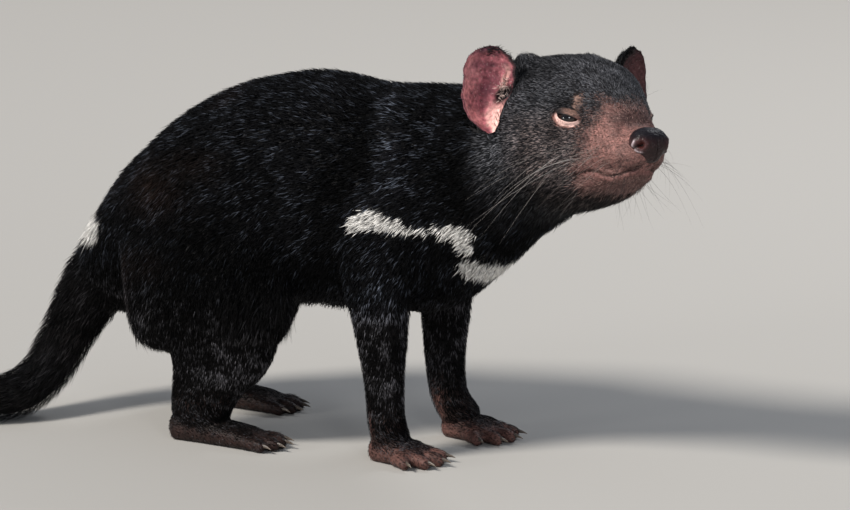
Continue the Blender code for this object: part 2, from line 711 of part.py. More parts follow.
def main():
    for old in list(bpy.data.objects):
        bpy.data.objects.remove(old)
    trunk = loft(list(TRUNK.values()), (0, 0, 1), 44, 48, 0.6, 2.1)
    tail = loft([(*row[:3], row[3], row[3], row[3]) for row in TAIL.values()], (0, 0, 1), 34, 24, 0.9)
    body = fused([trunk, tail] + head_pieces() + leg_pieces("left") + leg_pieces("right"), "trunk")

    body, tail = part_tail(body)
    tail, middle = halves(tail, "tail_middle", *TAIL_MIDDLE_CUT)
    middle, end = halves(middle, "tail_end", *TAIL_END_CUT)
    flesh, feet = [tail, middle, end], {}
    for side, sign in (("left", 1.0), ("right", -1.0)):
        for word, shape, upper_cut, foot_cut in (
            ("fore", FORELEG_ARCH, ELBOW_CUT, WRIST_CUT),
            ("hind", HINDLEG_ARCH, KNEE_CUT, ANKLE_CUT),
        ):
            cutters = [arch(*shape, sign, grow) for grow in (0.0, GAP)]
            body, leg = parted(body, f"{word}leg_upper_{side}", *cutters)
            leg, lower = halves(leg, f"{word}leg_lower_{side}", (0, 0, upper_cut), (0, 0, -1))
            lower, foot = halves(lower, f"{word}foot_{side}", (0, 0, foot_cut), (0, 0, -1))
            flesh += [leg, lower]
            feet[foot.name] = foot
    body, neck = halves(body, "neck", *NECK_CUT)
    neck, head = halves(neck, "head", *HEAD_CUT)
    flesh += [body, neck]

    place = head_matrix()
    slope = math.atan2(MOUTH_FRONT[1] - MOUTH_CORNER[1], MOUTH_FRONT[0] - MOUTH_CORNER[0])
    corner = Vector((MOUTH_CORNER[0], 0, MOUTH_CORNER[1])) * MM
    tilt = place @ Matrix.Translation(corner) @ Matrix.Rotation(-slope, 4, "Y")
    cutters = [placed(box((-g, -60 - g, -60 - g), (80 + g, 60 + g, g)), tilt) for g in (0.0, GAP)]
    head, jaw = parted(head, "lower_jaw", *cutters)
    back, under = NOSE_CUT
    cutters = [placed(box((back - g, -40, under - g), (140, 40, 60)), place) for g in (0.0, GAP)]
    head, nose = parted(head, "nose", *cutters)
    eyes, ears = [], []
    for side, sign in (("left", 1.0), ("right", -1.0)):
        head, eye = eye_and_socket(head, sign, "eye_" + side)
        eyes.append(eye)
    for side, sign in (("left", 1.0), ("right", -1.0)):
        ears.append(cut_away(ear(sign, "ear_" + side), grown(head, GAP)))
    flesh += [head, jaw]
    claws = foot_claws(feet)
    flesh += list(feet.values())

    looks = (
        (flesh, COAT, 0.6),
        ([nose], NOSE_SKIN, 0.35),
        (ears, EAR_SKIN, 0.55),
        (claws, HORN, 0.4),
        (eyes, EYE_DARK, 0.05),
    )
    for pieces, colour, roughness in looks:
        for piece in pieces:
            shaded(piece, material(piece.name + "_surface", colour, roughness))
    centred([piece for pieces, _, _ in looks for piece in pieces])


main()
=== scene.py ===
import math
import bmesh
import bpy
import numpy as np
from mathutils import Matrix, Vector


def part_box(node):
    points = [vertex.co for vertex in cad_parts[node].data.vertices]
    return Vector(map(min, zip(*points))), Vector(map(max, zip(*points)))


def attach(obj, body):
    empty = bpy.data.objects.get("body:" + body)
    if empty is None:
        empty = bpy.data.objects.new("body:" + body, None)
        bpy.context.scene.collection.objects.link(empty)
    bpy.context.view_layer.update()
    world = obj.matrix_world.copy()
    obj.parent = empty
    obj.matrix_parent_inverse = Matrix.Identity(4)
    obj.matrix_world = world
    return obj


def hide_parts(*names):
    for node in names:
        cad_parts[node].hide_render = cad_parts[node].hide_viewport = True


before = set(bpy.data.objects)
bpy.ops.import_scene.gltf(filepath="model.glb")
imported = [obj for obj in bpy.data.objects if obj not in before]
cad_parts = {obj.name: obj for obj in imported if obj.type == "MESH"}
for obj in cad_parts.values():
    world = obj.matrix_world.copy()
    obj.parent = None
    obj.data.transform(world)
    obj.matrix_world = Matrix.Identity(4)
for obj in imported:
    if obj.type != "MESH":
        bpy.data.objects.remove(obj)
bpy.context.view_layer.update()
mm = 0.001  # every table below is in millimetres
dice = np.random.default_rng(11)

# Where the head sits: its own frame has x to the nose, y to its left, z to the crown
pose = {
    "headAt": (118.5, -17.0, 238.0),
    "headTurns": (-27.0, 10.0, -6.5),  # yaw, nose up, roll, in degrees
    "eyeAt": (42.6, 30.2, 11.0),
    "soleCut": 1.2,  # the flesh is this much lower than its tables
}


def unit(vectors):
    # the same headings, each of length 1
    return vectors / np.maximum(np.linalg.norm(vectors, axis=-1, keepdims=True), 1e-9)


def ease(low, high, values):
    # 0 below low, 1 above high, with a smooth s-curve between
    share = np.clip((values - low) / (high - low), 0.0, 1.0)
    return share * share * (3.0 - 2.0 * share)


def bump(values, centre, reach):
    # a round hill of height 1 about centre that falls to nothing reach away
    return np.clip(1.0 - ((values - centre) / reach) ** 2, 0.0, 1.0) ** 2


def ridge(values, centre, width):
    # a bell of height 1 at centre that falls to 0.37 a width away
    return np.exp(-(((values - centre) / width) ** 2))


def hill(points, centre, reach):
    # the same bell about a point, with its own reach each way
    away = (points - np.array(centre, float)) / np.array(reach, float)
    return np.exp(-np.sum(away**2, axis=1))


def mirrored(points):
    # both sides laid on the left one
    return np.stack([points[:, 0], np.abs(points[:, 1]), points[:, 2]], axis=1)


def towards(base, other, share):
    # base where share is 0, other where it is 1, and a straight mix between
    return base * (1 - share) + other * share


def alongSkin(vectors, normals):
    # what is left of the vectors once their part along the normals is gone
    return vectors - normals * np.sum(vectors * normals, axis=1, keepdims=True)


def circle(count):
    # angles spread evenly once round
    return np.linspace(0.0, 2 * math.pi, count, endpoint=False)


def headAxes():
    # the head's own frame: columns to the nose, to its left and to the crown
    yaw, pitch, roll = (math.radians(angle) for angle in pose["headTurns"])
    turn = Matrix.Rotation(yaw, 3, "Z") @ Matrix.Rotation(-pitch, 3, "Y") @ Matrix.Rotation(roll, 3, "X")
    return np.array(turn)


headTurn = headAxes()
headAt = np.array(pose["headAt"])


def toHead(points):
    # the tables' places as they lie in the head's frame
    return (points - headAt) @ headTurn


def fromHead(points):
    # and back into the tables' frame
    return np.asarray(points, float) @ headTurn.T + headAt


def tableShift():
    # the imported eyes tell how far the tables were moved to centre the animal
    middle = sum((corner for side in ("left", "right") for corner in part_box("eye_" + side)), Vector()) / 4
    x, _, z = pose["eyeAt"]
    return np.array(middle) / mm - fromHead((x, 0.0, z))


shift = tableShift()
shift[2] = 0.0
print("tables moved by", np.round(shift, 2))


def noise(points, size, seed):
    # smooth noise from -1 to 1: values at the corners of a grid of cells, eased between them
    scaled = points / size + 57.3 * (seed + 1)
    cell = np.floor(scaled).astype(np.int64)
    part = scaled - cell
    part = part * part * (3.0 - 2.0 * part)
    total = np.zeros(len(points))
    for corner in range(8):
        step = np.array([corner & 1, corner >> 1 & 1, corner >> 2 & 1])
        weight = np.prod(np.where(step, part, 1.0 - part), axis=1)
        total += weight * cellValue(cell + step, seed)
    return total * 2.0 - 1.0


def cellValue(cell, seed):
    # a repeatable number from 0 to 1 for every cell: its whole numbers times large primes, their bits mixed
    x, y, z = cell.T
    bits = x * 73856093 ^ y * 19349663 ^ z * 83492791 ^ (seed * 2654435761 + 12345)
    bits = (bits ^ bits >> 13) * 1274126177 & 0x7FFFFFFF
    bits = (bits ^ bits >> 15) * 668265263 & 0x7FFFFFFF
    return (bits & 0xFFFFF) / 0xFFFFF


def lockCentres(points, size, seed):
    # the nearest of one jittered centre per cell, looked for in the cell and its neighbours
    cell = np.floor(points / size).astype(np.int64)
    best = np.full(len(points), 1e9)
    found = points.copy()
    for x in (-1, 0, 1):
        for y in (-1, 0, 1):
            for z in (-1, 0, 1):
                other = cell + np.array([x, y, z])
                jitter = np.stack([cellValue(other, seed + k) for k in range(3)], axis=1)
                centre = (other + jitter) * size
                away = np.sum((centre - points) ** 2, axis=1)
                closer = away < best
                best[closer] = away[closer]
                found[closer] = centre[closer]
    return found


def sceneObject(name, data):
    # puts a mesh, light or camera into the scene
    made = bpy.data.objects.new(name, data)
    bpy.context.scene.collection.objects.link(made)
    return made


def meshObject(name, points, faceSets):
    # points in table millimetres; faceSets are arrays with one face a row
    mesh = bpy.data.meshes.new(name)
    mesh.vertices.add(len(points))
    mesh.vertices.foreach_set("co", ((points + shift) * mm).astype(np.float32).ravel())
    corners = np.concatenate([faces.ravel() for faces in faceSets]).astype(np.int32)
    sizes = np.concatenate([np.full(len(faces), faces.shape[1]) for faces in faceSets])
    starts = np.concatenate([[0], np.cumsum(sizes)[:-1]]).astype(np.int32)
    mesh.loops.add(len(corners))
    mesh.loops.foreach_set("vertex_index", corners)
    mesh.polygons.add(len(sizes))
    mesh.polygons.foreach_set("loop_start", starts)
    mesh.polygons.foreach_set("use_smooth", np.ones(len(sizes), bool))
    mesh.update(calc_edges=True)
    return sceneObject(name, mesh)


def pointsOf(made):
    # a mesh's points in table millimetres
    found = np.empty(len(made.data.vertices) * 3, np.float32)
    made.data.vertices.foreach_get("co", found)
    return found.reshape(-1, 3).astype(float) / mm - shift


def movePoints(made, points):
    # gives a mesh new points, in table millimetres
    made.data.vertices.foreach_set("co", ((points + shift) * mm).astype(np.float32).ravel())
    made.data.update()


def paint(made, colours):
    # one colour for each vertex, as the colour attribute that the materials read
    layer = made.data.color_attributes.new("tone", "FLOAT_COLOR", "POINT")
    filled = np.concatenate([colours, np.ones((len(colours), 1))], axis=1)
    layer.data.foreach_set("color", filled.astype(np.float32).ravel())


def keepShape(made):
    # applies the modifiers
    bpy.context.view_layer.update()
    graph = bpy.context.evaluated_depsgraph_get()
    shape = bpy.data.meshes.new_from_object(made.evaluated_get(graph))
    made.modifiers.clear()
    made.data = shape
    shape.name = made.name


def shareGroup(made, name, share):
    # a vertex group that holds a share from 0 to 1, in twenty steps
    group = made.vertex_groups.new(name=name)
    for level in np.linspace(0.05, 1.0, 20):
        group.add(np.nonzero(np.abs(share - level) <= 0.0251)[0].tolist(), float(level), "REPLACE")


def soften(made, passes, group=""):
    # averages points with their neighbours, as much as the group says
    modifier = made.modifiers.new("Soften", "SMOOTH")
    modifier.factor = 0.5
    modifier.iterations = passes
    modifier.vertex_group = group


# Trunk and neck: centre x, y, z, half width, height above and depth below the centre, depth of the coat
trunkTable = {
    "tail root": (-257, 0, 100, 30, 29, 36, 5.5),
    "pelvis": (-236, 0, 125, 47, 36, 50, 5.5),
    "rump": (-206, 0, 150, 59, 48, 56, 5),
    "loin": (-165, 0, 168, 66, 65.5, 67, 5),
    "belly": (-120, 0, 178, 70, 78.5, 78, 5),
    "last ribs": (-75, 0, 181, 70, 84, 81, 5),
    "ribs": (-35, 0, 180, 66, 82, 82, 5),
    "shoulders": (0, 0, 183, 62, 80, 83, 5),
    "neck root": (32, -1, 192, 58, 76, 67, 5),
    "neck": (62, -5, 205, 57, 66, 53, 4.6),
    "throat": (90, -11, 219, 57, 58, 46, 4),
    "nape": (116, -18, 230, 53, 50, 43, 3.2),
}
# Head above the mouth: along x, half width, top, bottom, height of the widest line, depth of the coat
headTable = {
    "nape": (-50, 42, 38, -42, -4, 3.6),
    "occiput": (-33, 52, 48, -50, -6, 3.2),
    "ears": (-10, 59, 55, -53, -9, 2.8),
    "jaw angle": (12, 58, 55, -50, -11, 2.4),
    "temple": (31, 48.5, 51, -45, -12, 2.0),
    "brow": (46, 36, 42, -38, -13, 1.3),
    "stop": (60, 27, 30, -31, -14, 0.6),
    "bridge": (74, 21.5, 20.5, -27, -14, 0.3),
    "snout": (84, 18, 12, -24, -12.5, 0.2),
    "nose back": (89.5, 14.5, 7, -21.5, -10, 0.4),
}
jawTable = {
    "jaw root": (0, 40, -20, -52, -36, 2.6),
    "jaw middle": (32, 33, -22, -46, -34, 2.0),
    "cheek corner": (56, 24.5, -20, -39.5, -30, 1.0),
    "lip": (72, 17.5, -19, -33.5, -26.5, 0.4),
    "chin": (82, 11.5, -18, -29.5, -24.5, 0.3),
}
headShape = {
    "squareAbove": 2.55,
    "squareBelow": 2.1,
    "browAt": (41.0, 22.5, 24.0),
    "browSize": (13.0, 8.0, 6.5),
    "earBaseAt": (-13.0, 27.5, 38.5),
    "earBaseSize": (15.5, 14.0, 15.5),
}
# Legs: centre x, y outwards, z, half width, reach to the front and to the back, depth of the coat
forelegTable = {
    "shoulder blade": (-20, 30, 228, 14, 24, 28, 5),
    "shoulder": (-14, 41.5, 192, 22, 34, 40, 5),
    "upper arm": (-9, 48, 155, 24, 34, 38, 4.6),
    "elbow": (-13, 50, 124, 21, 26, 27, 3.8),
    "forearm": (-12, 49, 104, 18.5, 21.5, 20, 3),
    "mid forearm": (-11, 47, 76, 16, 17, 16.5, 2.4),
    "low forearm": (-10, 45, 50, 14, 15, 14.5, 2),
    "wrist": (-9, 44, 29, 12.5, 13.5, 14, 1.2),
    "palm root": (-6, 44, 15, 13.5, 14, 13.5, 0.8),
}
hindlegTable = {
    "hip": (-184, 31, 198, 17, 28, 26, 5),
    "buttock": (-180, 43, 166, 27, 56, 44, 5),
    "thigh": (-168, 49, 136, 31, 80, 55, 5),
    "knee": (-152, 53, 109, 30, 82, 62, 4.6),
    "low thigh": (-143, 55, 86, 26, 64, 58, 4),
    "shank": (-140, 55, 66, 21.5, 46, 42, 3.2),
    "low shank": (-144, 54, 50, 18, 30, 32, 2.4),
    "ankle": (-150, 53, 34, 15.5, 24, 26, 1.6),
    "heel root": (-154, 53, 18, 14, 22, 22, 1),
}
# Feet: along x from the foot's centre, y outwards, z, half width, height above, depth below, coat's depth
palmTable = {
    "palm heel": (-19, 0, 9, 11, 8, 9, 0.7),
    "palm": (-6, 0, 9, 15, 9, 9, 0.7),
    "toe roots": (9, 0, 8.5, 17, 7.5, 8.5, 0.6),
    "palm end": (16, 0, 7.5, 14, 5.5, 7, 0.6),
}
soleTable = {
    "heel": (-38, 0, 9.5, 11, 11, 9.5, 0.8),
    "sole": (-18, 0, 9.5, 12.5, 11, 9.5, 0.8),
    "instep": (4, 0, 8.5, 14.5, 9, 8.5, 0.8),
    "toe roots": (22, 0, 7.5, 15, 6.5, 7.5, 0.6),
    "sole end": (29, 0, 7, 12, 5, 6.5, 0.6),
}
# Toe: root x, root y, turn outwards in degrees, length, radius
foreToes = {
    "one": (3, -13.5, -34, 14, 5.0),
    "two": (11, -9.2, -13, 16, 5.2),
    "three": (13, -0.3, 0, 17.5, 5.4),
    "four": (11, 8.8, 13, 16, 5.2),
    "five": (3, 13.5, 33, 14, 5.0),
}
hindToes = {
    "two": (23, -11.0, -11, 15, 5.0),
    "three": (26, -3.8, -4, 17, 5.2),
    "four": (26, 3.8, 4, 17, 5.2),
    "five": (22, 11.0, 12, 15, 5.0),
}
stance = {
    "foreCentre": (2.0, 44.0),
    "hindCentre": (-133.0, 53.0),
    "foreStep": {"right": 0.0, "left": 11.0},
    "hindStep": {"right": 0.0, "left": -45.0},
    "foreStepFrom": (42.0, 8.0),  # the step grows from nothing at the first height to all of it at the second
    "hindStepFrom": (190.0, 100.0),
    # the share of a backward step that the thigh's rear leaves out, from what height, and over how much of it
    "tuck": (0.75, 58.0, 40.0),
    "toeHeight": 5.6,
}
# Tail: centre x, y, z, radius, depth of the coat
tailTable = {
    "tail inside": (-238, 0, 126, 27, 5),
    "tail root": (-260, -2, 101, 30, 6),
    "upper tail": (-276, -8, 76, 24.5, 6),
    "middle tail": (-285, -21, 51, 21.5, 6),
    "tail bend": (-290, -36, 34, 20, 5.5),
    "low tail": (-298, -55, 22, 19, 5),
    "tail lying": (-316, -76, 18, 17.5, 5),
    "tail end": (-340, -92, 15.5, 15, 4.5),
    "tail brush": (-366, -103, 12.5, 11.5, 4),
    "tail tip": (-385, -110, 10.5, 7.5, 3.6),
}
skin = {
    "voxel": 1.35,
    "smoothing": 6,
    "blending": 24,  # more smoothing passes over the body than over the face and feet
    "merging": 45,  # and more again where the legs run into the trunk
    "triangles": 90000,
    "faceFrom": 24.0,  # ahead of this, along the head, the face has twice the detail
}
forms = {
    # swells and hollows of the flesh: a line of places, how wide, how far out
    "shoulder blade": ([(-13, 29, 252), (-4, 50, 229), (-1, 61, 198), (-24, 67, 178)], 9.0, 4.0),
    "behind the shoulder": ([(-32, 30, 255), (-32, 55, 222), (-40, 66, 190), (-50, 68, 160)], 12.0, -4.5),
    "before the shoulder": ([(20, 35, 250), (20, 54, 222), (22, 60, 198)], 10.0, -3.5),
    "upper arm": ([(-18, 70, 168), (-12, 72, 135)], 13.0, 2.2),
    "elbow fold": ([(-47, 66, 148), (-42, 66, 122)], 7.0, -3.5),
    "flank": ([(-108, 66, 205), (-104, 68, 160), (-98, 62, 128)], 14.0, -4.0),
    "last rib": ([(-80, 50, 240), (-78, 68, 190), (-70, 66, 150)], 12.0, 1.6),
    "haunch": ([(-196, 34, 212), (-184, 58, 188)], 13.0, 3.2),
    "loin": ([(-150, 30, 244), (-150, 56, 214)], 14.0, -3.0),
    "thigh": ([(-150, 78, 150), (-128, 80, 118)], 16.0, 2.2),
    "back of the thigh": ([(-186, 72, 160), (-180, 78, 120)], 9.0, -2.4),
    "spine": ([(-200, 0, 204), (-120, 0, 260), (-40, 0, 266), (30, 0, 262)], 7.0, 0.9),
}
shades = {
    # painted light and shade on the coat, where its colour is painted brighter or darker: a line of places,
    # how wide, how much brighter
    "shoulder blade": ([(-13, 29, 252), (-2, 50, 229), (4, 61, 200), (-14, 67, 184)], 13.0, 2.6),
    "behind the shoulder": ([(-34, 42, 240), (-33, 60, 215), (-42, 66, 190)], 15.0, 0.30),
    "back": ([(-200, 0, 215), (-120, 0, 266), (-60, 0, 268)], 26.0, 0.75),
    "under the neck": ([(40, 55, 215), (62, 50, 190)], 18.0, 0.45),
    "arm pit": ([(-52, 66, 150), (-48, 62, 118)], 13.0, 0.45),
    "thigh": ([(-142, 77, 143), (-112, 73, 125), (-150, 62, 100)], 30.0, 0.28),
    "low flank": ([(-60, 62, 130), (-110, 60, 128)], 20.0, 0.50),
    "shank": ([(-128, 72, 92), (-128, 68, 60)], 15.0, 1.9),
    "forearm": ([(-8, 66, 125), (-6, 60, 60)], 24.0, 1.9),
    "hip": ([(-190, 52, 190), (-180, 64, 172)], 20.0, 1.6),
}


def smoothRows(rows, count):
    # cubic curve through the rows, evenly spaced by the distance between their centres
    rows = np.array(rows, float)
    knots = np.concatenate([[0.0], np.cumsum(np.linalg.norm(np.diff(rows[:, :3], axis=0), axis=1))])
    slopes = np.gradient(rows, knots, axis=0)
    at = np.linspace(0.0, knots[-1], count)
    k = np.clip(np.searchsorted(knots, at, side="right") - 1, 0, len(rows) - 2)
    width = (knots[k + 1] - knots[k])[:, None]
    t = (at - knots[k])[:, None] / width
    return (
        (2 * t**3 - 3 * t**2 + 1) * rows[k]
        + (t**3 - 2 * t**2 + t) * width * slopes[k]
        + (3 * t**2 - 2 * t**3) * rows[k + 1]
        + (t**3 - t**2) * width * slopes[k + 1]
    )


def gridFaces(rings, sides):
    # four-sided faces between rings of points that close on themselves, then fans to a pole at each end
    ring, side = np.meshgrid(np.arange(rings - 1), np.arange(sides), indexing="ij")
    after = (side + 1) % sides
    here, ahead = ring * sides, (ring + 1) * sides
    quads = np.stack([here + side, here + after, ahead + after, ahead + side], -1)
    k = np.arange(sides)
    following = (k + 1) % sides
    south, north = rings * sides, rings * sides + 1
    top = (rings - 1) * sides
    fans = np.concatenate([
        np.stack([following, k, np.full(sides, south)], -1),
        np.stack([top + k, top + following, np.full(sides, north)], -1),
    ])
    return quads.reshape(-1, 4), fans


def loft(rows, up, rings, sides, square, cap, squareBelow=None):
    # a superellipse carried along the rows' centres: half width to the sides, reach up and down, domed ends
    line = smoothRows(rows, rings)
    centres, half, above, below = line[:, :3], line[:, 3], line[:, 4], line[:, 5]
    along = unit(np.gradient(centres, axis=0))
    side = unit(np.cross(np.array(up, float), along))
    lift = np.cross(along, side)
    turn = circle(sides)
    c, s = np.cos(turn), np.sin(turn)
    power = np.where(s > 0, 2 / square, 2 / (squareBelow or square))
    across = np.sign(c) * np.abs(c) ** power
    high = np.sign(s) * np.abs(s) ** power
    reach = np.where(high[None, :] > 0, above[:, None], below[:, None])
    ring = centres[:, None] + side[:, None] * (half[:, None] * across)[..., None]
    ring = ring + lift[:, None] * (reach * high)[..., None]
    ends = []
    for end, sign in ((0, -1.0), (-1, 1.0)):
        depth = cap * min(half[end], (above[end] + below[end]) / 2)
        share = np.array([0.35, 0.65, 0.88])[:, None, None]
        dome = centres[end] + (ring[end] - centres[end])[None] * np.sqrt(1 - share**2)
        ends.append((dome + along[end] * sign * depth * share, centres[end] + along[end] * sign * depth))
    grid = np.concatenate([ends[0][0][::-1], ring, ends[1][0]])
    points = np.concatenate([grid.reshape(-1, 3), ends[0][1][None], ends[1][1][None]])
    return points, *gridFaces(rings + 6, sides)


def ball(centre, size, sides, rings):
    # an ellipsoid: rings of latitude between two poles
    latitude = np.linspace(-math.pi / 2, math.pi / 2, rings + 2)[1:-1, None]
    longitude = circle(sides)[None]
    x = np.cos(latitude) * np.cos(longitude)
    y = np.cos(latitude) * np.sin(longitude)
    z = np.sin(latitude) + 0.0 * longitude
    shape = np.stack([x, y, z], -1).reshape(-1, 3)
    shape = np.concatenate([shape, [[0, 0, -1]], [[0, 0, 1]]])
    return shape * np.array(size) + np.array(centre), *gridFaces(rings, sides)


def joined(surfaces):
    # puts surfaces into one list of points and faces
    points, quads, fans, first = [], [], [], 0
    for own, four, three in surfaces:
        points.append(own)
        quads.append(four + first)
        fans.append(three + first)
        first += len(own)
    return np.concatenate(points), [np.concatenate(quads), np.concatenate(fans)]


def headRows(table):
    # lofted along the head: centre, half width, reach up and down, all less the coat
    return [
        (x, 0, wide, half - fur, top - wide - fur, wide - low - fur)
        for x, half, top, low, wide, fur in table.values()
    ]


def headSurfaces():
    # skull and jaw as lofts, with a ball for each brow and each ear's base
    parts = [
        loft(headRows(headTable), (0, 0, 1), 60, 72, headShape["squareAbove"], 0.5, headShape["squareBelow"]),
        loft(headRows(jawTable), (0, 0, 1), 44, 56, 2.2, 0.45),
    ]
    for at, size in (("browAt", "browSize"), ("earBaseAt", "earBaseSize")):
        x, y, z = headShape[at]
        parts += [ball((x, y * sign, z), headShape[size], 32, 20) for sign in (-1, 1)]
    return [(fromHead(points), quads, fans) for points, quads, fans in parts]


def legRows(table, side, word):
    # the leg's rows with its step, which grows down the leg, all less the coat
    sign = 1.0 if side == "left" else -1.0
    step = stance[word + "Step"][side]
    start, finish = stance[word + "StepFrom"]
    share, tuckFrom, tuckOver = stance["tuck"]
    rows = []
    for x, y, z, half, front, back, fur in table.values():
        swing = step * float(ease(0.0, 1.0, (start - z) / (start - finish)))
        tucked = share * min(0.0, swing) * min(1.0, max(0.0, (z - tuckFrom) / tuckOver))
        rows.append((x + swing, sign * y, z, half - fur, front - fur, back + tucked - fur))
    return rows


def footCentre(word, side):
    # where a foot stands once its step is taken, y outwards
    x, y = stance[word + "Centre"]
    return x + stance[word + "Step"][side], y


def toeLine(x, y, turn, length, centreX, centreY, sign):
    # a toe's root and its end, which lies a little lower
    angle = math.radians(turn)
    start = np.array([centreX + x, sign * (centreY + y), stance["toeHeight"] + 0.6])
    ahead = np.array([math.cos(angle), sign * math.sin(angle), 0.0])
    return start, start + ahead * length - np.array([0.0, 0.0, 0.7])


def legSurfaces(side):
    # each leg as a loft down the leg, one along the foot and one along each toe, thicker at its knuckle
    sign = 1.0 if side == "left" else -1.0
    parts = []
    for word, table, foot, toes in (
        ("fore", forelegTable, palmTable, foreToes),
        ("hind", hindlegTable, soleTable, hindToes),
    ):
        parts.append(loft(legRows(table, side, word), (1, 0, 0), 60, 56, 2.1, 0.5))
        centreX, centreY = footCentre(word, side)
        rows = [
            (centreX + x, sign * (centreY + y), z, half - fur, above - fur, below)
            for x, y, z, half, above, below, fur in foot.values()
        ]
        parts.append(loft(rows, (0, 0, 1), 30, 40, 2.4, 0.5))
        for x, y, turn, length, radius in toes.values():
            start, finish = toeLine(x, y, turn, length, centreX, centreY, sign)
            middle = (start + finish) / 2 + np.array([0, 0, 0.8])
            knuckle = start + (finish - start) * 0.72 + np.array([0, 0, 0.5])
            thin = radius - 0.5
            toe = [
                (*start, thin, thin, radius),
                (*middle, thin * 0.9, thin * 0.95, radius),
                (*knuckle, thin * 0.96, thin * 1.02, radius * 0.98),
                (*finish, thin * 0.86, thin * 0.8, radius * 0.9),
            ]
            parts.append(loft(toe, (0, 0, 1), 18, 24, 2.0, 0.8))
    return parts


def bodySurfaces():
    # trunk and tail as lofts, all less the coat
    trunk = [
        (x, y, z, half - fur, above - fur, below - fur)
        for x, y, z, half, above, below, fur in trunkTable.values()
    ]
    tail = [(x, y, z, *[radius - fur] * 3) for x, y, z, radius, fur in tailTable.values()]
    return [loft(trunk, (0, 0, 1), 90, 96, 2.1, 0.6), loft(tail, (0, 0, 1), 70, 40, 2.0, 0.9)]


def flattenSoles(made):
    # slices off what is under the floor line and closes the cut
    shape = bmesh.new()
    shape.from_mesh(made.data)
    floor = Vector((0, 0, pose["soleCut"] * mm))
    everything = shape.verts[:] + shape.edges[:] + shape.faces[:]
    down = (0, 0, -1)
    cut = bmesh.ops.bisect_plane(shape, geom=everything, plane_co=floor, plane_no=down, clear_outer=True)
    rim = [edge for edge in cut["geom_cut"] if isinstance(edge, bmesh.types.BMEdge)]
    bmesh.ops.holes_fill(shape, edges=rim, sides=0)
    bmesh.ops.translate(shape, vec=-floor, verts=shape.verts)
    bmesh.ops.triangulate(shape, faces=shape.faces)
    shape.to_mesh(made.data)
    shape.free()


def faceShare(points):
    # 1 over the face and the feet, where the skin shows, and 0 under the long coat
    ahead = toHead(points)[:, 0]
    onFace = ease(-5.0, 18.0, ahead)
    onFoot = ease(40.0, 30.0, points[:, 2]) * ease(-250.0, -230.0, points[:, 0])
    return np.maximum(onFace, onFoot)


def makeSkin():
    # every surface fused into one skin of small cells, smoothed, thinned under the long coat, with its relief
    points, faces = joined(bodySurfaces() + headSurfaces() + legSurfaces("left") + legSurfaces("right"))
    made = meshObject("hide", points, faces)
    fuse = made.modifiers.new("Fuse", "REMESH")
    fuse.mode = "VOXEL"
    fuse.voxel_size = skin["voxel"] * mm
    fuse.use_smooth_shade = True
    soften(made, skin["smoothing"])
    keepShape(made)
    shareGroup(made, "plain", 1.0 - faceShare(pointsOf(made)))
    soften(made, skin["blending"], "plain")
    thin = made.modifiers.new("Thin out", "DECIMATE")
    thin.ratio = skin["triangles"] / (2 * len(made.data.polygons))
    thin.vertex_group = "plain"
    thin.vertex_group_factor = 1e-5
    before = len(made.data.polygons)
    keepShape(made)
    shareGroup(made, "merge", mergeShare(pointsOf(made)))
    soften(made, skin["merging"], "merge")
    keepShape(made)
    clearEars(made)
    flattenSoles(made)
    refineFace(made)
    points = pointsOf(made)
    _, normals, _ = surfaceOf(made)
    movePoints(made, points + normals * (faceRelief(points) + bodyRelief(points))[:, None])
    print("hide:", before, "fused faces, then", len(made.data.polygons), "triangles")
    return made


def nearLine(points, line, width):
    # 1 on a line of places, on either side of the body, falling off with the distance from it
    return ridge(chainDistance(mirrored(points), [(*spot, 0.0) for spot in line]), 0.0, width)


def bodyRelief(points):
    # the muscles' swells and hollows, low ripples over the ribs and the coat's uneven masses
    x, _, z = points.T
    out = np.zeros(len(points))
    for line, width, height in forms.values():
        out += height * nearLine(points, line, width)
    ribs = ease(-110.0, -90.0, x) * ease(-30.0, -50.0, x) * ease(130.0, 150.0, z) * ease(240.0, 215.0, z)
    out += 0.45 * ribs * np.sin((x + 0.35 * z) / 14.0 * 2 * math.pi)
    out += 0.9 * noise(points, 24.0, 14) + 0.55 * noise(points, 9.0, 15) * ease(60.0, 110.0, z)
    return out * (1.0 - faceShare(points)) * ease(-258.0, -240.0, x)


def paintedCoatLight(points):
    # painted light and shade on the coat: the product of the shades' hills, on a slow random waver of
    # brightness
    out = np.exp(0.55 * noise(points, 24.0, 25) + 0.40 * noise(points, 9.0, 26))
    for line, width, factor in shades.values():
        out = out * factor ** nearLine(points, line, width)
    return out


def mergeShare(points):
    # 1 where a leg's top runs into the trunk, fading to 0 around
    x, y, z = points.T
    side = ease(18.0, 34.0, np.abs(y))
    hind = ease(96.0, 128.0, z) * ease(238.0, 205.0, z) * ease(-252.0, -225.0, x) * ease(-62.0, -92.0, x)
    fore = ease(112.0, 140.0, z) * ease(245.0, 215.0, z) * ease(-75.0, -55.0, x) * ease(52.0, 34.0, x)
    return side * np.maximum(hind, fore)


def clearEars(made):
    # draws the skin back out of each ear's cup, to just behind the shell, and softens the step around it
    local = toHead(pointsOf(made))
    edge = np.zeros(len(local))
    for sign in (-1, 1):
        faces = earAxes(sign)[2]
        high, part, ahead, depth = earPlaces(local, sign)
        near = ease(0.02, 0.11, high) * ease(1.1, 1.0, high) * (np.abs(ahead) < 28)
        behind = -depth * np.clip(1 - part**2, 0, 1) - 2.2
        push = np.clip(ahead - behind, 0, None) * near * ease(1.14, 0.98, part)
        local = local - faces * push[:, None]
        edge = np.maximum(edge, near * bump(part, 1.12, 0.40) * (ahead > -16))
    movePoints(made, fromHead(local))
    shareGroup(made, "ear edge", edge)
    soften(made, 5, "ear edge")
    keepShape(made)


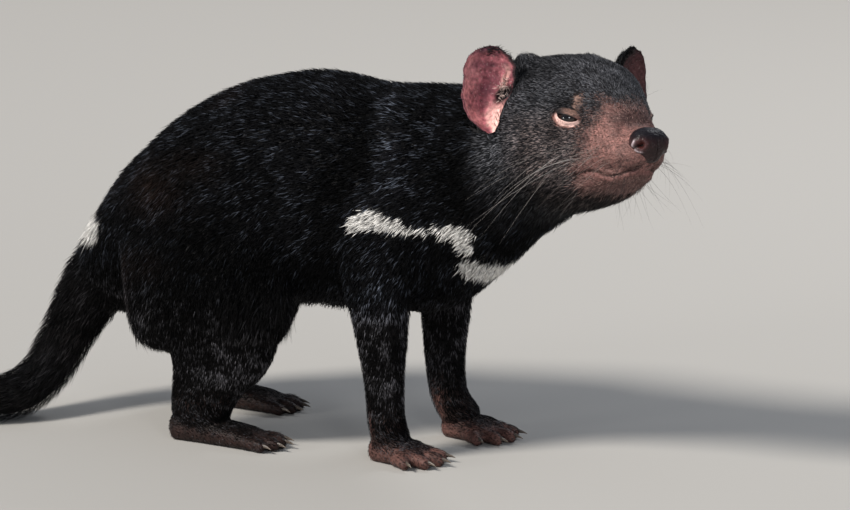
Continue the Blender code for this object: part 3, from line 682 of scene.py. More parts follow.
mouth = {
    # its line: place along the head against height, in the head's frame
    "along": (36.0, 41.0, 45.0, 50.0, 56.0, 60.0, 63.5, 67.0, 72.0, 78.0, 84.0, 90.0, 96.0),
    "height": (-33.0, -30.5, -28.5, -26.3, -25.0, -25.3, -26.5, -28.2, -29.0, -27.8, -25.0, -22.0, -19.5),
    "groove": 1.3,
    "grooveWidth": 0.6,
    "overhang": 1.1,  # how far the upper lip stands out over the groove
    "lowerLip": 0.7,
}


eye = {
    "radius": 7.2,
    "faces": 57.0,  # degrees outwards of straight ahead
    "slant": 18.0,  # how far the opening slopes down to the nose
    "opening": (8.0, 0.9, 3.1),  # half length, height above and depth below
    "reach": (14.5, 12.5),  # how far the lids' patch runs from the eye's centre, along and across
    "thick": 0.8,
    "dome": 0.6,  # how far the clear front stands out of the ball
    "looksDown": 12.0,  # degrees that the iris sits below the eye's middle
    # the lids' rolls and creases: side, place from the edge to the rim, width, height
    "folds": (
        ("above", 0.05, 0.05, 0.45), ("above", 0.17, 0.035, -0.45), ("above", 0.28, 0.07, 0.5),
        ("inner", 0.44, 0.04, -1.0), ("inner", 0.60, 0.12, 1.3), ("inner", 0.80, 0.05, -0.4),
        ("below", 0.09, 0.06, 0.30), ("below", 0.27, 0.05, -0.25), ("below", 0.38, 0.06, 0.20),
        ("below", 0.50, 0.035, -0.35),
    ),
    "iris": 5.4,
    "pupil": 2.6,
    "tones": {
        "white": (0.020, 0.012, 0.010), "iris": (0.012, 0.0055, 0.0035), "pupil": (0.002, 0.002, 0.003),
    },
}
crown = {
    # where the skull's top is filled out between the ears, and changed beside each of them; left is plus
    "between, right": ((-12, -16, 50), (17, 12, 13), 3.2),
    "between, left": ((-12, 16, 50), (17, 12, 13), 3.2),
    "top of the crown": ((8, 0, 51), (13, 20, 12), 1.3),
    "front of the crown": ((34, 0, 47), (12, 16, 10), -0.8),
    "beside the right ear": ((-10, -36, 44), (15, 9, 12), -3.6),
}
face = {
    # hills and hollows of the skin, in the head's frame, alike on both sides: centre, reach each way, height
    "brow": ((46, 25, 22), (9, 7, 5), 0.6),
    "tear hollow": ((58, 22, 9), (7, 7, 8), -2.2),
    "temple hollow": ((29, 42, 27), (12, 9, 11), -1.6),
    "whisker pad": ((73, 19, -13), (11, 9, 8), 1.6),
    "pad crease": ((58.5, 27, -6), (2.6, 7, 9), -1.2),
    "under the eye": ((47, 33, 0), (9, 6, 3), -0.8),
    "cheek": ((36, 38, -8), (14, 8, 9), 1.4),
    "lower cheek": ((52, 26, -34), (12, 9, 6), 0.8),
    "jaw muscle": ((8, 55, -18), (18, 12, 16), 1.6),
    "bridge side": ((74, 14, 8), (10, 4, 7), -1.1),
    "bridge": ((74, 0, 19), (14, 7, 6), 0.5),
    "frown": ((50, 7, 33), (9, 2.5, 6), -0.7),
}


def mouthHeight(along):
    # the mouth's line: straight stretches between its rows
    return np.interp(along, mouth["along"], mouth["height"])


def faceRelief(points):
    # how far each place of the face stands out or in: hills and hollows, the mouth's groove between lips,
    # the split below the nose, folds across the bare snout and a grain over all of it
    local = toHead(points)
    folded = mirrored(local)
    x, y, z = folded.T
    out = sum(height * hill(folded, centre, reach) for centre, reach, height in face.values())
    over = z - mouthHeight(x)
    front = ease(38.0, 50.0, x)
    out = out - mouth["groove"] * ridge(over, 0.0, mouth["grooveWidth"]) * front
    out = out + mouth["overhang"] * ridge(over, 2.6, 2.2) * front * ease(94.0, 86.0, x)
    out = out + mouth["lowerLip"] * ridge(over, -2.2, 1.7) * front
    out = out - 0.9 * ridge(y, 0.0, 0.9) * ease(88.0, 91.0, x) * ease(-16.0, -20.0, z) * ease(-24.5, -23.0, z)
    fold = np.sin(2.1 * x + 0.9 * z + 2.5 * noise(points, 7.0, 33)) * ease(80.0, 62.0, x)
    grain = noise(points * np.array([1.0, 1.0, 1.9]), 1.7, 32)
    out = out + snoutShare(points) * (0.26 * fold + 0.34 * noise(points, 3.2, 31) + 0.26 * grain)
    skull = sum(height * hill(local, centre, reach) for centre, reach, height in crown.values())
    return out * ease(18.0, 30.0, x) + skull


def refineFace(made):
    # splits every face of the face's front in four
    shape = bmesh.new()
    shape.from_mesh(made.data)
    shape.verts.ensure_lookup_table()
    ahead = toHead(pointsOf(made))[:, 0] > skin["faceFrom"]
    chosen = [edge for edge in shape.edges if ahead[edge.verts[0].index] and ahead[edge.verts[1].index]]
    bmesh.ops.subdivide_edges(shape, edges=chosen, cuts=1, use_grid_fill=True)
    bmesh.ops.triangulate(shape, faces=shape.faces)
    shape.to_mesh(made.data)
    shape.free()
    soften(made, 2)
    keepShape(made)


def eyeAxes(sign):
    # outwards, towards the nose and up, in the head's frame, with the opening's slant
    angle, slant = math.radians(eye["faces"]), math.radians(eye["slant"])
    out = np.array([math.cos(angle), sign * math.sin(angle), 0.06])
    out = out / np.linalg.norm(out)
    up = unit(np.array([0.0, 0.0, 1.0]) - out * out[2])
    ahead = np.cross(up, out)
    ahead = ahead * np.sign(ahead[0])
    return out, ahead * math.cos(slant) - up * math.sin(slant), up * math.cos(slant) + ahead * math.sin(slant)


def eyeCentre(sign):
    # in the head's frame
    x, y, z = pose["eyeAt"]
    return np.array([x, sign * y, z])


def outward(points, faceSets):
    # turns the faces round if the solid they close has a negative volume
    volume = 0.0
    for faces in faceSets:
        for k in range(1, faces.shape[1] - 1):
            a, b, c = points[faces[:, 0]], points[faces[:, k]], points[faces[:, k + 1]]
            volume += np.sum(np.cross(a, b) * c)
    return [faces[:, ::-1] for faces in faceSets] if volume < 0 else faceSets


def ringFaces(rings, sides):
    # four-sided faces of a grid that closes on itself both ways
    ring, side = np.meshgrid(np.arange(rings), np.arange(sides), indexing="ij")
    after = (side + 1) % sides
    here, ahead = ring * sides, (ring + 1) % rings * sides
    return np.stack([here + side, here + after, ahead + after, ahead + side], -1).reshape(-1, 4)


def skinHeight(places, skinPoints, axes, centre):
    # the skin's height along the eye's outward axis, as a weighted mean of the points near each place
    local = toHead(skinPoints) - centre
    high, along, across = (local @ axis for axis in axes)
    near = (np.abs(along) < 20) & (np.abs(across) < 18) & (high > -2) & (high < 14)
    high, along, across = high[near], along[near], across[near]
    away = (places[:, 0:1] - along[None]) ** 2 + (places[:, 1:2] - across[None]) ** 2
    weight = np.exp(-away / 2.0) + 1e-12
    return np.sum(weight * high[None], axis=1) / np.sum(weight, axis=1)


def makeLids(sign, word, skinPoints):
    # a ring round the eye: its section runs from the eyeball over the lid's edge, out along the face and back
    # beneath it; the lid is a ball's shell near the opening and turns into the face farther out
    axes, centre = eyeAxes(sign), eyeCentre(sign)
    sides = 144
    around = circle(sides)
    c, s = np.cos(around), np.sin(around)
    length, above, below = eye["opening"]
    arc = np.sign(s) * np.abs(s) ** 1.25
    opening = np.where(s > 0, above, below) * arc + 0.35 * (1 - s * s) * np.sign(c)
    edge = np.stack([length * c, opening], axis=1)
    rim = np.stack([eye["reach"][0] * c, eye["reach"][1] * s], axis=1)
    steps = np.concatenate([np.linspace(0.0, 0.30, 14), np.linspace(0.32, 1.0, 32)])
    place = edge[None] + (rim - edge)[None] * steps[:, None, None]
    onFace = skinHeight(place.reshape(-1, 2), skinPoints, axes, centre).reshape(len(steps), sides)
    away = np.sum(place**2, axis=2)
    shell = eye["radius"] + eye["thick"]
    high = towards(shell - away / (2 * shell), onFace, ease(0.08, 0.62, steps)[:, None])
    inner = bump(c, 0.55, 1.0)
    sidesOf = {"above": np.clip(s, 0, 1), "below": np.clip(-s, 0, 1), "inner": np.clip(s, 0, 1) * inner}
    for side, at, width, height in eye["folds"]:
        high = high + height * sidesOf[side][None] * ridge(steps[:, None], at, width)
    grain = noise(np.concatenate([place, high[..., None]], -1).reshape(-1, 3), 1.6, 42)
    high = high + 0.12 * grain.reshape(high.shape)
    high = high - 1.2 * ease(0.92, 1.0, steps[:, None])
    globe = np.sqrt(np.maximum(eye["radius"] ** 2 - away[0], 1.0))
    turn = np.linspace(0.0, 1.0, 7)[1:, None]
    edgeHigh = towards(high[0], globe - 0.35, turn)
    edgePlace = edge[None] - unit(edge)[None] * (0.25 * np.sin(math.pi * turn))[..., None]
    under = np.linspace(0.0, 1.0, 8)[1:-1, None]
    backPlace = towards(edge[None], rim[None], under[..., None])
    backHigh = towards((globe - 0.9)[None], (high[-1] - 1.6)[None], under)
    place = np.concatenate([edgePlace[::-1], place, backPlace[::-1]])
    high = np.concatenate([edgeHigh[::-1], high, backHigh[::-1]])
    out, ahead, upward = axes
    local = centre + high[..., None] * out + place[..., :1] * ahead + place[..., 1:] * upward
    points = fromHead(local.reshape(-1, 3))
    made = meshObject("eyelids_" + word, points, outward(points, [ringFaces(len(place), sides)]))
    edgeRings, backRings = len(edgePlace), len(backPlace)
    amount = np.concatenate([np.full(edgeRings, -0.1), steps, np.ones(backRings)])
    paint(made, lidColour(points, np.repeat(amount, sides), np.tile(c, len(place)), np.tile(s, len(place))))
    hair = ease(0.34, 0.56, steps[:, None] - 0.10 * np.clip(s, 0, 1) * inner)
    hair = hair * ease(0.97, 0.9, steps)[:, None]
    shown = np.concatenate([np.zeros((edgeRings, sides)), hair, np.zeros((backRings, sides))])
    return made, shown.ravel()


def lidColour(points, out, c, s):
    # a pale lower edge, a thin dark upper one, tan skin over the eye and at its corners, and painted shade
    # along the creases above the eye; out runs from 0 at the edge to 1 at the rim, c and s are the cosine and
    # sine of the way round
    out = out + 0.03 * noise(points, 2.0, 41)
    ragged = out + 0.08 * noise(points, 1.6, 45)
    lower, upper = ease(0.12, -0.25, s), ease(-0.25, 0.12, s)
    broken = ease(0.52, 0.36, out + 0.06 * noise(points, 1.4, 43))
    tan = upper * bump(c, 0.25, 1.0) * broken * ease(0.05, 0.14, out)
    return layered(fleshColour(points), fleshTones, (
        ("upperLid", tan * np.clip(0.85 + 0.5 * noise(points, 0.9, 44), 0, 1)),
        ("overLid", 0.75 * ease(0.60, 0.25, out) * bump(c, 1.05, 0.55)),
        ("overLid", 0.85 * lower * ease(0.70, 0.42, ragged)),
        ("lid", lower * ease(0.44, 0.22, ragged) * ease(-0.03, 0.0, out)),
        ("lid", 0.8 * bump(c, -1.0, 0.2) * ease(0.36, 0.16, out) * ease(0.35, 0.05, s)),
        # painted shade along the creases above the eye
        ("headHidden", 0.9 * upper * ridge(out, 0.50, 0.05) * bump(c, 0.35, 1.0)),
        ("headHidden", 0.45 * upper * ridge(out, 0.24, 0.025)),
        ("hidden", 0.95 * upper * ease(0.075, 0.035, out) * ease(1.0, 0.85, np.abs(c))),
        ("hidden", 0.9 * ease(-0.02, -0.07, out) * (1 - 0.5 * lower)),
    ))


def makeEye(sign, word):
    # a ball with a low dome over the iris: rings from the front pole to the back one
    out, ahead, up = eyeAxes(sign)
    shape, quads, fans = ball((0, 0, 0), (1, 1, 1), 64, 48)
    angle = np.arccos(np.clip(shape[:, 2], -1, 1))
    dome = eye["dome"] * bump(angle * eye["radius"], 0.0, eye["iris"] + 0.8)
    local = shape * (eye["radius"] + dome)[:, None]
    down = math.radians(eye["looksDown"])
    gaze = out * math.cos(down) - up * math.sin(down)
    upright = up * math.cos(down) + out * math.sin(down)
    local = local[:, :1] * ahead + local[:, 1:2] * upright + local[:, 2:] * gaze
    points = fromHead(local + eyeCentre(sign))
    made = meshObject("eyeball_" + word, points, outward(points, [quads, fans]))
    across = angle * eye["radius"]
    paint(made, layered(np.tile(eye["tones"]["white"], (len(points), 1)), eye["tones"], (
        ("iris", ease(eye["iris"] + 0.3, eye["iris"] - 0.3, across)),
        ("pupil", ease(eye["pupil"] + 0.25, eye["pupil"] - 0.25, across)),
    )))
    return made


nose = {
    "at": (91.5, 0.0, -8.6),
    "size": (11.6, 14.0, 12.4),
    "square": 2.3,
    "narrows": 0.38,  # how much narrower it is at the bottom
    "nostril": (0.52, 0.85, 0.0),  # heading from the middle to the nostril
    "nostrilSize": (0.15, 3.2),  # half width, in radians about the pad's middle, and depth
    "tones": {
        "pad": (0.0200, 0.0085, 0.0090), "top": (0.0070, 0.0055, 0.0085), "inside": (0.115, 0.026, 0.020),
        # rim: a painted highlight, the pale wet crescent along each wing
        "rim": (0.50, 0.41, 0.43), "side": (0.060, 0.026, 0.026), "wing": (0.055, 0.020, 0.020),
        # well: painted shade deep in each nostril and along its slit
        "well": (0.004, 0.0015, 0.0015),
    },
}


def makeNose():
    # a rounded block, narrower towards the bottom, as a distance from its middle for each heading, with two
    # wells, their raised wings and a groove down the front
    sides, rings, furthest = 150, 110, 2.3
    polar = np.linspace(0.0, furthest, rings + 2)[1:-1, None]
    turn = circle(sides)[None]
    aside = np.sin(polar)
    heading = np.stack([np.cos(polar) + 0 * turn, aside * np.sin(turn), aside * np.cos(turn)], -1)
    heading = np.concatenate([heading.reshape(-1, 3), [[1, 0, 0]], [[math.cos(furthest), 0, 0]]])
    size, power = np.array(nose["size"]), nose["square"]
    low = ease(0.1, -0.85, heading[:, 2])
    spread = np.stack([1 - 0.12 * low, 1 - nose["narrows"] * low, 1 + 0 * low], axis=1)
    reach = np.sum(np.abs(heading / (size * spread)) ** power, axis=1) ** (-1 / power)
    ahead, _, upward = heading.T
    folded = mirrored(heading)
    well = unit(np.array(nose["nostril"]))
    back = unit(np.array([-0.80, 0.25, -0.45]))
    slant = unit(back - well * (back @ well))
    across = np.cross(well, slant)
    width, depth = nose["nostrilSize"]
    onSlant, onAcross = folded @ slant, folded @ across
    away = np.sqrt((onSlant / 1.25) ** 2 + onAcross**2 + np.clip(1 - folded @ well, 0, None) ** 2)
    hole = np.exp(-((away / width) ** 4))
    slitAway = np.sqrt((np.clip(np.abs(onSlant - 0.30) - 0.16, 0, None)) ** 2 + (onAcross - 0.06) ** 2)
    slit = ridge(slitAway, 0.0, 0.06) * (folded @ well > 0.2)
    wing = ridge(away, width * 2.3, 0.11) * ease(-0.05, 0.20, onSlant)
    tip = ridge(away, width * 1.8, 0.14) * ease(0.1, -0.25, onSlant)
    groove = ridge(heading[:, 1], 0.0, 0.05) * ease(0.25, 0.6, ahead) * ease(0.45, 0.0, upward)
    reach = reach - depth * hole - 1.5 * slit + 1.3 * wing + tip - groove
    pebbles = heading * 11.0
    reach = reach + 0.16 * noise(pebbles, 0.9, 51) + 0.26 * noise(pebbles, 2.1, 52)
    points = fromHead(heading * reach[:, None] + np.array(nose["at"]))
    made = meshObject("nose_pad", points, outward(points, list(gridFaces(rings, sides))))
    middle = ridge(away, 0.0, width * 0.7)
    # painted highlight: a pale wet crescent along the back of each wing
    rim = ridge(away, width * 2.3, 0.065) * ease(0.04, 0.20, onSlant) * (1 - slit)
    paint(made, layered(np.tile(nose["tones"]["pad"], (len(points), 1)), nose["tones"], (
        ("wing", ridge(away, width * 1.5, 0.16)),
        ("top", ease(0.1, 0.6, upward)),
        ("side", ease(0.15, -0.25, ahead) * ease(0.5, 0.1, upward)),
        ("inside", 1.1 * hole * (1 - middle)),
        # painted shade in the middle of each nostril and along its slit
        ("well", np.clip(1.1 * middle + 0.9 * slit, 0, 1)),
        ("rim", rim * np.clip(0.75 + 0.6 * noise(pebbles, 1.2, 53), 0, 1)),
    )))
    return made


ear = {
    "root": (0.0, 51.0, -1.0),
    "tip": (-9.0, 66.0, 59.0),
    "faces": 31.0,  # degrees outwards of straight ahead
    "thick": 2.4,
    # share of the ear's height, how far outwards it runs from its axis, how far inwards, depth of the cup
    "shape": [
        (0.09, 11.6, -9.2, 1.0), (0.105, 13.6, -7.0, 2.5), (0.14, 15.4, -5.4, 4.5), (0.2, 17.6, -2.8, 7.0),
        (0.3, 21.0, 1.0, 10.0), (0.4, 23.2, 7.5, 12.5), (0.5, 22.8, 12.5, 13.0), (0.6, 21.0, 16.8, 12.0),
        (0.7, 18.6, 18.0, 10.0), (0.8, 16.6, 16.6, 8.0), (0.89, 13.8, 14.2, 6.0), (0.965, 9.8, 11.0, 3.5),
        (0.995, 4.6, 6.0, 2.0),
    ],
    "lit": {"right": 1.0, "left": 0.17},  # painted shade: the left ear's colours are painted darker, as if in shadow
    "fringe": {"right": 0.1, "left": 0.1},  # how much longer the hair along the inner edge is
    "flap": {"right": 0.0, "left": 8.0},  # how much farther inwards the upper half runs, under dark hair
    "flapFrom": {"right": -0.86, "left": 0.0},  # where across the ear that hair starts
    "tones": {
        "rosy": (0.330, 0.105, 0.122), "edge": (0.60, 0.235, 0.240), "deep": (0.110, 0.035, 0.055),
        "lobe": (0.95, 0.56, 0.50), "rim": (0.030, 0.018, 0.021), "back": (0.010, 0.009, 0.010),
        # hole: painted shade in the ear's opening
        "fold": (0.60, 0.33, 0.30), "hole": (0.008, 0.004, 0.005), "outerRim": (0.16, 0.05, 0.06),
        "paleHair": (0.75, 0.58, 0.53),
    },
    # folds in the cup: place across, lean with height, width, height on the ear, span, how far it stands out
    "folds": (
        (-0.56, -0.9, 0.09, 0.62, 0.18, 1.9), (-0.78, -0.5, 0.07, 0.60, 0.16, 1.6),
        (-0.67, -0.7, 0.05, 0.60, 0.16, -1.4), (-0.30, 0.4, 0.14, 0.50, 0.24, 1.2),
        (-0.70, 0.0, 0.26, 0.44, 0.08, -4.5), (-0.60, 0.0, 0.34, 0.20, 0.20, 1.8),
        (0.10, 0.3, 0.10, 0.34, 0.12, -1.2), (0.30, -0.4, 0.10, 0.50, 0.34, 0.5),
        (0.60, 0.2, 0.08, 0.60, 0.30, -0.5),
    ),
    "fur": {
        # what grows where: tufts to a square millimetre, length, width, rise
        "behind": (0.70, 4.5, 0.50, 1.0),
        "rim": (1.10, 3.4, 0.40, 0.8),
        "folds": (0.60, 4.2, 0.46, 3.4),
        "cup": (0.10, 2.2, 0.20, 0.6),
    },
}


def earAxes(sign):
    # the ear's root, the headings up it, out of its cup and outwards across it, and its height
    root = np.array(ear["root"]) * np.array([1, sign, 1])
    tip = np.array(ear["tip"]) * np.array([1, sign, 1])
    up = unit(tip - root)
    angle = math.radians(ear["faces"])
    faces = np.array([math.cos(angle), sign * math.sin(angle), 0.0])
    faces = unit(faces - up * (faces @ up))
    return root, up, faces, np.cross(up, faces) * sign, np.linalg.norm(tip - root)


def earShape(high):
    # how far the ear runs outwards and inwards at a share of its height, and its cup's depth there
    table = np.array(ear["shape"], float)
    return [np.interp(high, table[:, 0], table[:, k]) for k in (1, 2, 3)]


def earPlaces(local, sign):
    # each place's share of the ear's height, its distance from the middle against the half width, how far
    # before the ear's plane it is, and the cup's depth there
    root, up, faces, out, height = earAxes(sign)
    off = local - root
    high, across = off @ up / height, off @ out
    outer, inner, depth = earShape(high)
    return high, np.abs(across - (outer - inner) / 2) / ((outer + inner) / 2), off @ faces, depth


def makeEar(sign, word):
    # a cupped leaf: for each height, an arc across the front from the inner edge to the outer one, and back
    # behind it; t runs from -1 at the inner edge to 1 at the outer one
    root, up, faces, out, height = earAxes(sign)
    rings, steps = 84, 52
    share = (1.0 - np.linspace(1.0, 0.0, rings) ** 1.35 * 0.91)[:, None]
    outer, inner, depth = earShape(share)
    inner = inner + ear["flap"][word] * bump(share, 0.76, 0.36)
    outer, inner, depth = (smoothColumn(smoothColumn(values)) for values in (outer, inner, depth))
    t = -np.cos(math.pi * np.arange(steps + 1) / steps)[None]
    ragged = 1.0 + 0.025 * np.sin(21.0 * share + 2.0 * np.sign(t)) + 0.02 * np.sin(47.0 * share)
    half = (outer + inner) / 2 * ragged
    level = depth * (1 - t * t)
    slope = unit(np.stack([2 * depth * t, -(outer + inner) / 2 + 0 * t], -1))
    thick = ear["thick"] * (0.30 + 0.70 * np.sqrt(np.clip(1 - t**4, 0, 1)))
    thick = thick * np.minimum(1.0, (1.04 - share) * 4)
    thick = thick * np.where(np.abs(t) > 0.9999, 0.05, 1.0)
    relief = np.zeros((rings, steps + 1))
    for at, lean, width, middle, span, high in ear["folds"]:
        relief += high * ridge(t - at, lean * (share - middle), width) * bump(share, middle, span)
    roll = ridge(np.abs(t), 0.93, 0.06) + ridge(share, 0.955, 0.03)
    relief += 0.9 * roll * ease(0.15, 0.35, share) * (1 - np.abs(t) ** 30)
    relief += 0.35 * np.sin(9.0 * share + 3.0 * t) * (1 - t * t)
    across = (outer - inner) / 2 + t * half
    base = root + up * (height * share)[..., None]
    front = base + out * across[..., None] - faces * (level - relief * (1 - t**8))[..., None]
    front += faces * (0.35 * (1 - t**8) * noise(front.reshape(-1, 3), 3.0, 64).reshape(rings, -1))[..., None]
    back = base + out * (across + slope[..., 0] * thick)[..., None]
    back = back - faces * (level - slope[..., 1] * thick)[..., None]
    loop = np.concatenate([front, back[:, -2:0:-1]], axis=1)
    sides = loop.shape[1]
    poles = [loop[0].mean(axis=0) - up * 0.5, loop[-1].mean(axis=0) + up * 0.3]
    points = fromHead(np.concatenate([loop.reshape(-1, 3), poles]))
    made = meshObject("ear_shell_" + word, points, outward(points, list(gridFaces(rings, sides))))
    # at every point: how far across, how high, and whether it is in front
    across = np.tile(np.concatenate([t, t[:, -2:0:-1]], axis=1), (rings, 1))
    inFront = np.tile(np.append(np.ones(steps + 1), np.zeros(steps - 1)), (rings, 1))
    grids = [grid.ravel() for grid in (across, np.tile(share, (1, sides)), inFront)]
    values = np.stack([np.append(grid, grid[[0, -1]]) for grid in grids], axis=1)
    # the colours times the ear's painted light, darker for the left ear as painted shade
    paint(made, earColour(points, *values.T, ear["flapFrom"][word]) * ear["lit"][word])
    return made, values


def smoothColumn(values):
    # rounds the corners of a table read in straight lines
    padded = np.concatenate([values[:1], values[:1], values, values[-1:], values[-1:]])
    return sum(w * padded[k : k + len(values)] for k, w in enumerate((0.1, 0.2, 0.4, 0.2, 0.1)))


def blendTone(colour, tone, share):
    # each point's colour moved towards one tone, by the point's own share
    return colour + (np.array(tone) - colour) * share[:, None]


def layered(colour, tones, layers):
    # lays named tones over a colour, one after the other, as much of each as its share says
    for name, share in layers:
        colour = blendTone(colour, tones[name], share)
    return colour


def earColour(points, across, high, inFront, flapFrom):
    # rosy inside, deep purple in the cup, a pale ridge down to the lobe, a hole painted dark as shade and
    # pale folds above it
    tones, count = ear["tones"], len(points)
    mottle, fine = noise(points, 6.0, 61), noise(points, 2.2, 62)
    deep = ridge(across - 0.05 + 1.1 * (high - 0.55), 0.0, 0.34) * bump(high, 0.60, 0.34)
    folds = bump(across, -0.66, 0.32) * bump(high, 0.60, 0.20)
    pale = bump(across + 0.5 * fine, -0.80, 1.25) * bump(high, 0.16, 0.30)
    layers = (
        ("edge", ease(0.15, 0.75, across) * ease(0.12, 0.3, high) * (0.8 + 0.7 * mottle)),
        ("deep", (0.85 + 0.7 * mottle) * deep),
        ("deep", 0.5 * ease(0.10, 0.6, noise(points, 4.5, 65)) * ease(0.3, 0.45, high)),
        ("fold", folds * (0.55 + 0.9 * np.sin(13.0 * across + 16.0 * high + 2.0 * fine))),
        ("lobe", pale * (1.25 + 0.5 * fine)),
        ("deep", 0.55 * bump(across, 0.45, 0.5) * bump(high, 0.10, 0.12)),
        # painted shade in the ear's opening
        ("hole", 1.6 * bump(across, -0.72, 0.52) * bump(high, 0.45, 0.12)),
        ("rim", 0.9 * ease(flapFrom, flapFrom - 0.10, across) * ease(0.45, 0.55, high)),
        ("rim", 0.8 * ease(0.90, 0.97, high + 0.03 * fine) * ease(0.5, 0.0, across)),
        ("deep", 0.7 * np.maximum(ease(0.95, 0.99, across), ease(0.95, 0.98, high))),
    )
    inner = np.tile(tones["rosy"], (count, 1)) * (1.0 + 0.5 * fine)[:, None]
    inner = layered(inner, tones, [(name, np.clip(share, 0, 1)) for name, share in layers])
    edge = ease(0.80, 0.98, across) * ease(0.1, 0.3, high) * ease(0.98, 0.9, high)
    behind = blendTone(np.tile(tones["back"], (count, 1)), tones["outerRim"], edge)
    return towards(behind, inner, inFront[:, None])


def earFur(piece, values, sign, word):
    # dark fur behind the ear and on its upper inner rim, pale curly hairs in the folds, a few fine in the cup
    across, high, inFront = values.T
    low = ease(0.0, 0.06, high)
    behind = (1 - inFront) * low
    top = ease(0.88, 0.95, high) * ease(0.10, -0.25, across)
    flapFrom = ear["flapFrom"][word]
    rim = inFront * np.maximum(top, ease(flapFrom, flapFrom - 0.09, across) * ease(0.40, 0.55, high))
    rim = np.maximum(rim, inFront * low * ease(0.48, 0.38, high) * (word == "left"))
    folds = inFront * bump(across, -0.70, 0.36) * bump(high, 0.50, 0.15) * (1 - rim)
    cup = inFront * (1 - np.maximum(rim, folds)) * low * ease(0.32, 0.40, high)
    shares = np.stack([behind, rim, folds, cup], axis=1)
    kinds = np.array([ear["fur"][name] for name in ("behind", "rim", "folds", "cup")])
    roots, normals, read = scatter(piece, shares @ kinds[:, 0], 1.0)
    here = read(shares * kinds[:, 0])
    kind = np.argmax(here + 0.3 * here.sum(axis=1, keepdims=True) * dice.random(here.shape), axis=1)
    _, length, width, rise = kinds[kind].T
    _, up, _, out, _ = earAxes(sign)
    across, high, inFront = read(values).T
    edge = np.maximum(ease(0.55, 0.95, across), ease(0.75, 0.97, high))
    fringe = 1 + ear["fringe"][word] * ease(-0.2, -0.7, across) * (kind < 2)
    shorter = np.where(kind == 0, 1 - 0.7 * edge, 1.0)
    length, rise = length * shorter * fringe, rise * shorter * fringe**2
    wild = np.array([0.2, 0.25, 1.2, 0.3])[kind][:, None]
    # up behind, inwards and down along the rim, outwards in the folds
    heading = np.array([[1.0, 0.3], [0.1 if word == "left" else -0.2, -1.0], [-0.2, 0.7], [0.8, 0.4]])[kind]
    flow = heading[:, :1] * up + heading[:, 1:] * out + wild * dice.normal(size=(len(roots), 3))
    flow = unit(alongSkin(flow @ headTurn.T, normals))
    dark = grizzled(dice.random(len(roots)), 0.008, 0.05)
    pale = np.array(ear["tones"]["paleHair"]) * (0.35 + 0.9 * dice.random((len(roots), 1)))
    isPale = (kind == 2) & (dice.random(len(roots)) < 0.80) | (kind == 3)
    # painted shade: the left ear's hair is painted darker too
    colour = np.where(isPale[:, None], pale, dark) * (0.4 if word == "left" else 1.0)
    length = length * (0.7 + 0.6 * dice.random(len(roots)))
    places = 0.02 + 0.95 * np.stack([high, (across + 1) / 4.2 + 0.5 * (inFront < 0.5)], axis=1)
    return tuftMesh("coat_ear_" + word, roots, normals, flow, colour, places, (length, width, rise), "head")


def earOpening(points, margin=0.0):
    # 1 on skin that lies before an ear's cup, as seen from where the ear faces
    high, part, ahead, _ = earPlaces(mirrored(toHead(points)), 1)
    inside = ease(1.06 + 0.07 * margin, 0.96 + 0.05 * margin, part)
    inside = inside * ease(0.05 - 0.01 * margin, 0.11 - 0.01 * margin, high) * ease(1.15, 1.0, high)
    return inside * (np.abs(ahead + 4.0) < 24.0)


claws = {
    "length": 10.5,
    "radius": 1.7,
    "curl": 34.0,  # degrees that each turns down from root to tip
    "inside": 3.0,  # how far each runs back into its toe
    "tones": {"root": (0.035, 0.025, 0.022), "tip": (0.17, 0.135, 0.105)},
}


def clawSurface(start, heading):
    # a shrinking oval carried along an arc that leaves the toe level and turns down
    rings, sides = 22, 16
    ahead = np.array([math.cos(heading), math.sin(heading), 0.0])
    side = np.array([-ahead[1], ahead[0], 0.0])
    share = np.linspace(0.0, 1.0, rings)
    tilt = np.radians(8.0 - claws["curl"] * share)
    along = ahead * np.cos(tilt)[:, None] + np.array([0, 0, 1]) * np.sin(tilt)[:, None]
    step = (claws["length"] + 0.2) / (rings - 1)
    centre = start + np.concatenate([np.zeros((1, 3)), np.cumsum(along[:-1] * step, axis=0)])
    high = np.cross(along, side)
    radius = claws["radius"] * (1.0 - 0.93 * share**1.35)
    turn = circle(sides)
    ring = (
        centre[:, None]
        + side * (0.78 * radius[:, None] * np.cos(turn))[..., None]
        + high[:, None] * (1.15 * radius[:, None] * np.sin(turn))[..., None]
    )
    ring = np.concatenate([ring[:1] - ahead * claws["inside"], ring])
    poles = np.stack([ring[0].mean(axis=0), ring[-1].mean(axis=0) + along[-1] * 0.2])
    shareOf = np.concatenate([np.zeros(sides), np.repeat(share, sides), [0.0, 1.0]])
    return np.concatenate([ring.reshape(-1, 3), poles]), *gridFaces(rings + 1, sides), shareOf


def makeClaws():
    # one piece for each foot, with a claw at the end of each toe, pale towards its tip
    made = []
    root, tip = np.array(claws["tones"]["root"]), np.array(claws["tones"]["tip"])
    for word, toes in (("fore", foreToes), ("hind", hindToes)):
        for side, sign in (("left", 1.0), ("right", -1.0)):
            surfaces, shares, nodes = [], [], []
            for toe, (x, y, turn, length, _) in toes.items():
                start, finish = toeLine(x, y, turn, length, *footCentre(word, side), sign)
                heading = math.atan2(finish[1] - start[1], finish[0] - start[0])
                base = finish - unit(finish - start) * 1.5 + np.array([0, 0, 0.9 - pose["soleCut"]])
                points, quads, fans, share = clawSurface(base, heading)
                surfaces.append((points, *outward(points, [quads, fans])))
                shares.append(share)
                nodes.append(f"claw_{word}_{side}_{toe}")
            piece = meshObject(f"claws_{word}_{side}", *joined(surfaces))
            paint(piece, towards(root, tip, np.concatenate(shares)[:, None] ** 1.5))
            made.append((piece, nodes))
    return made


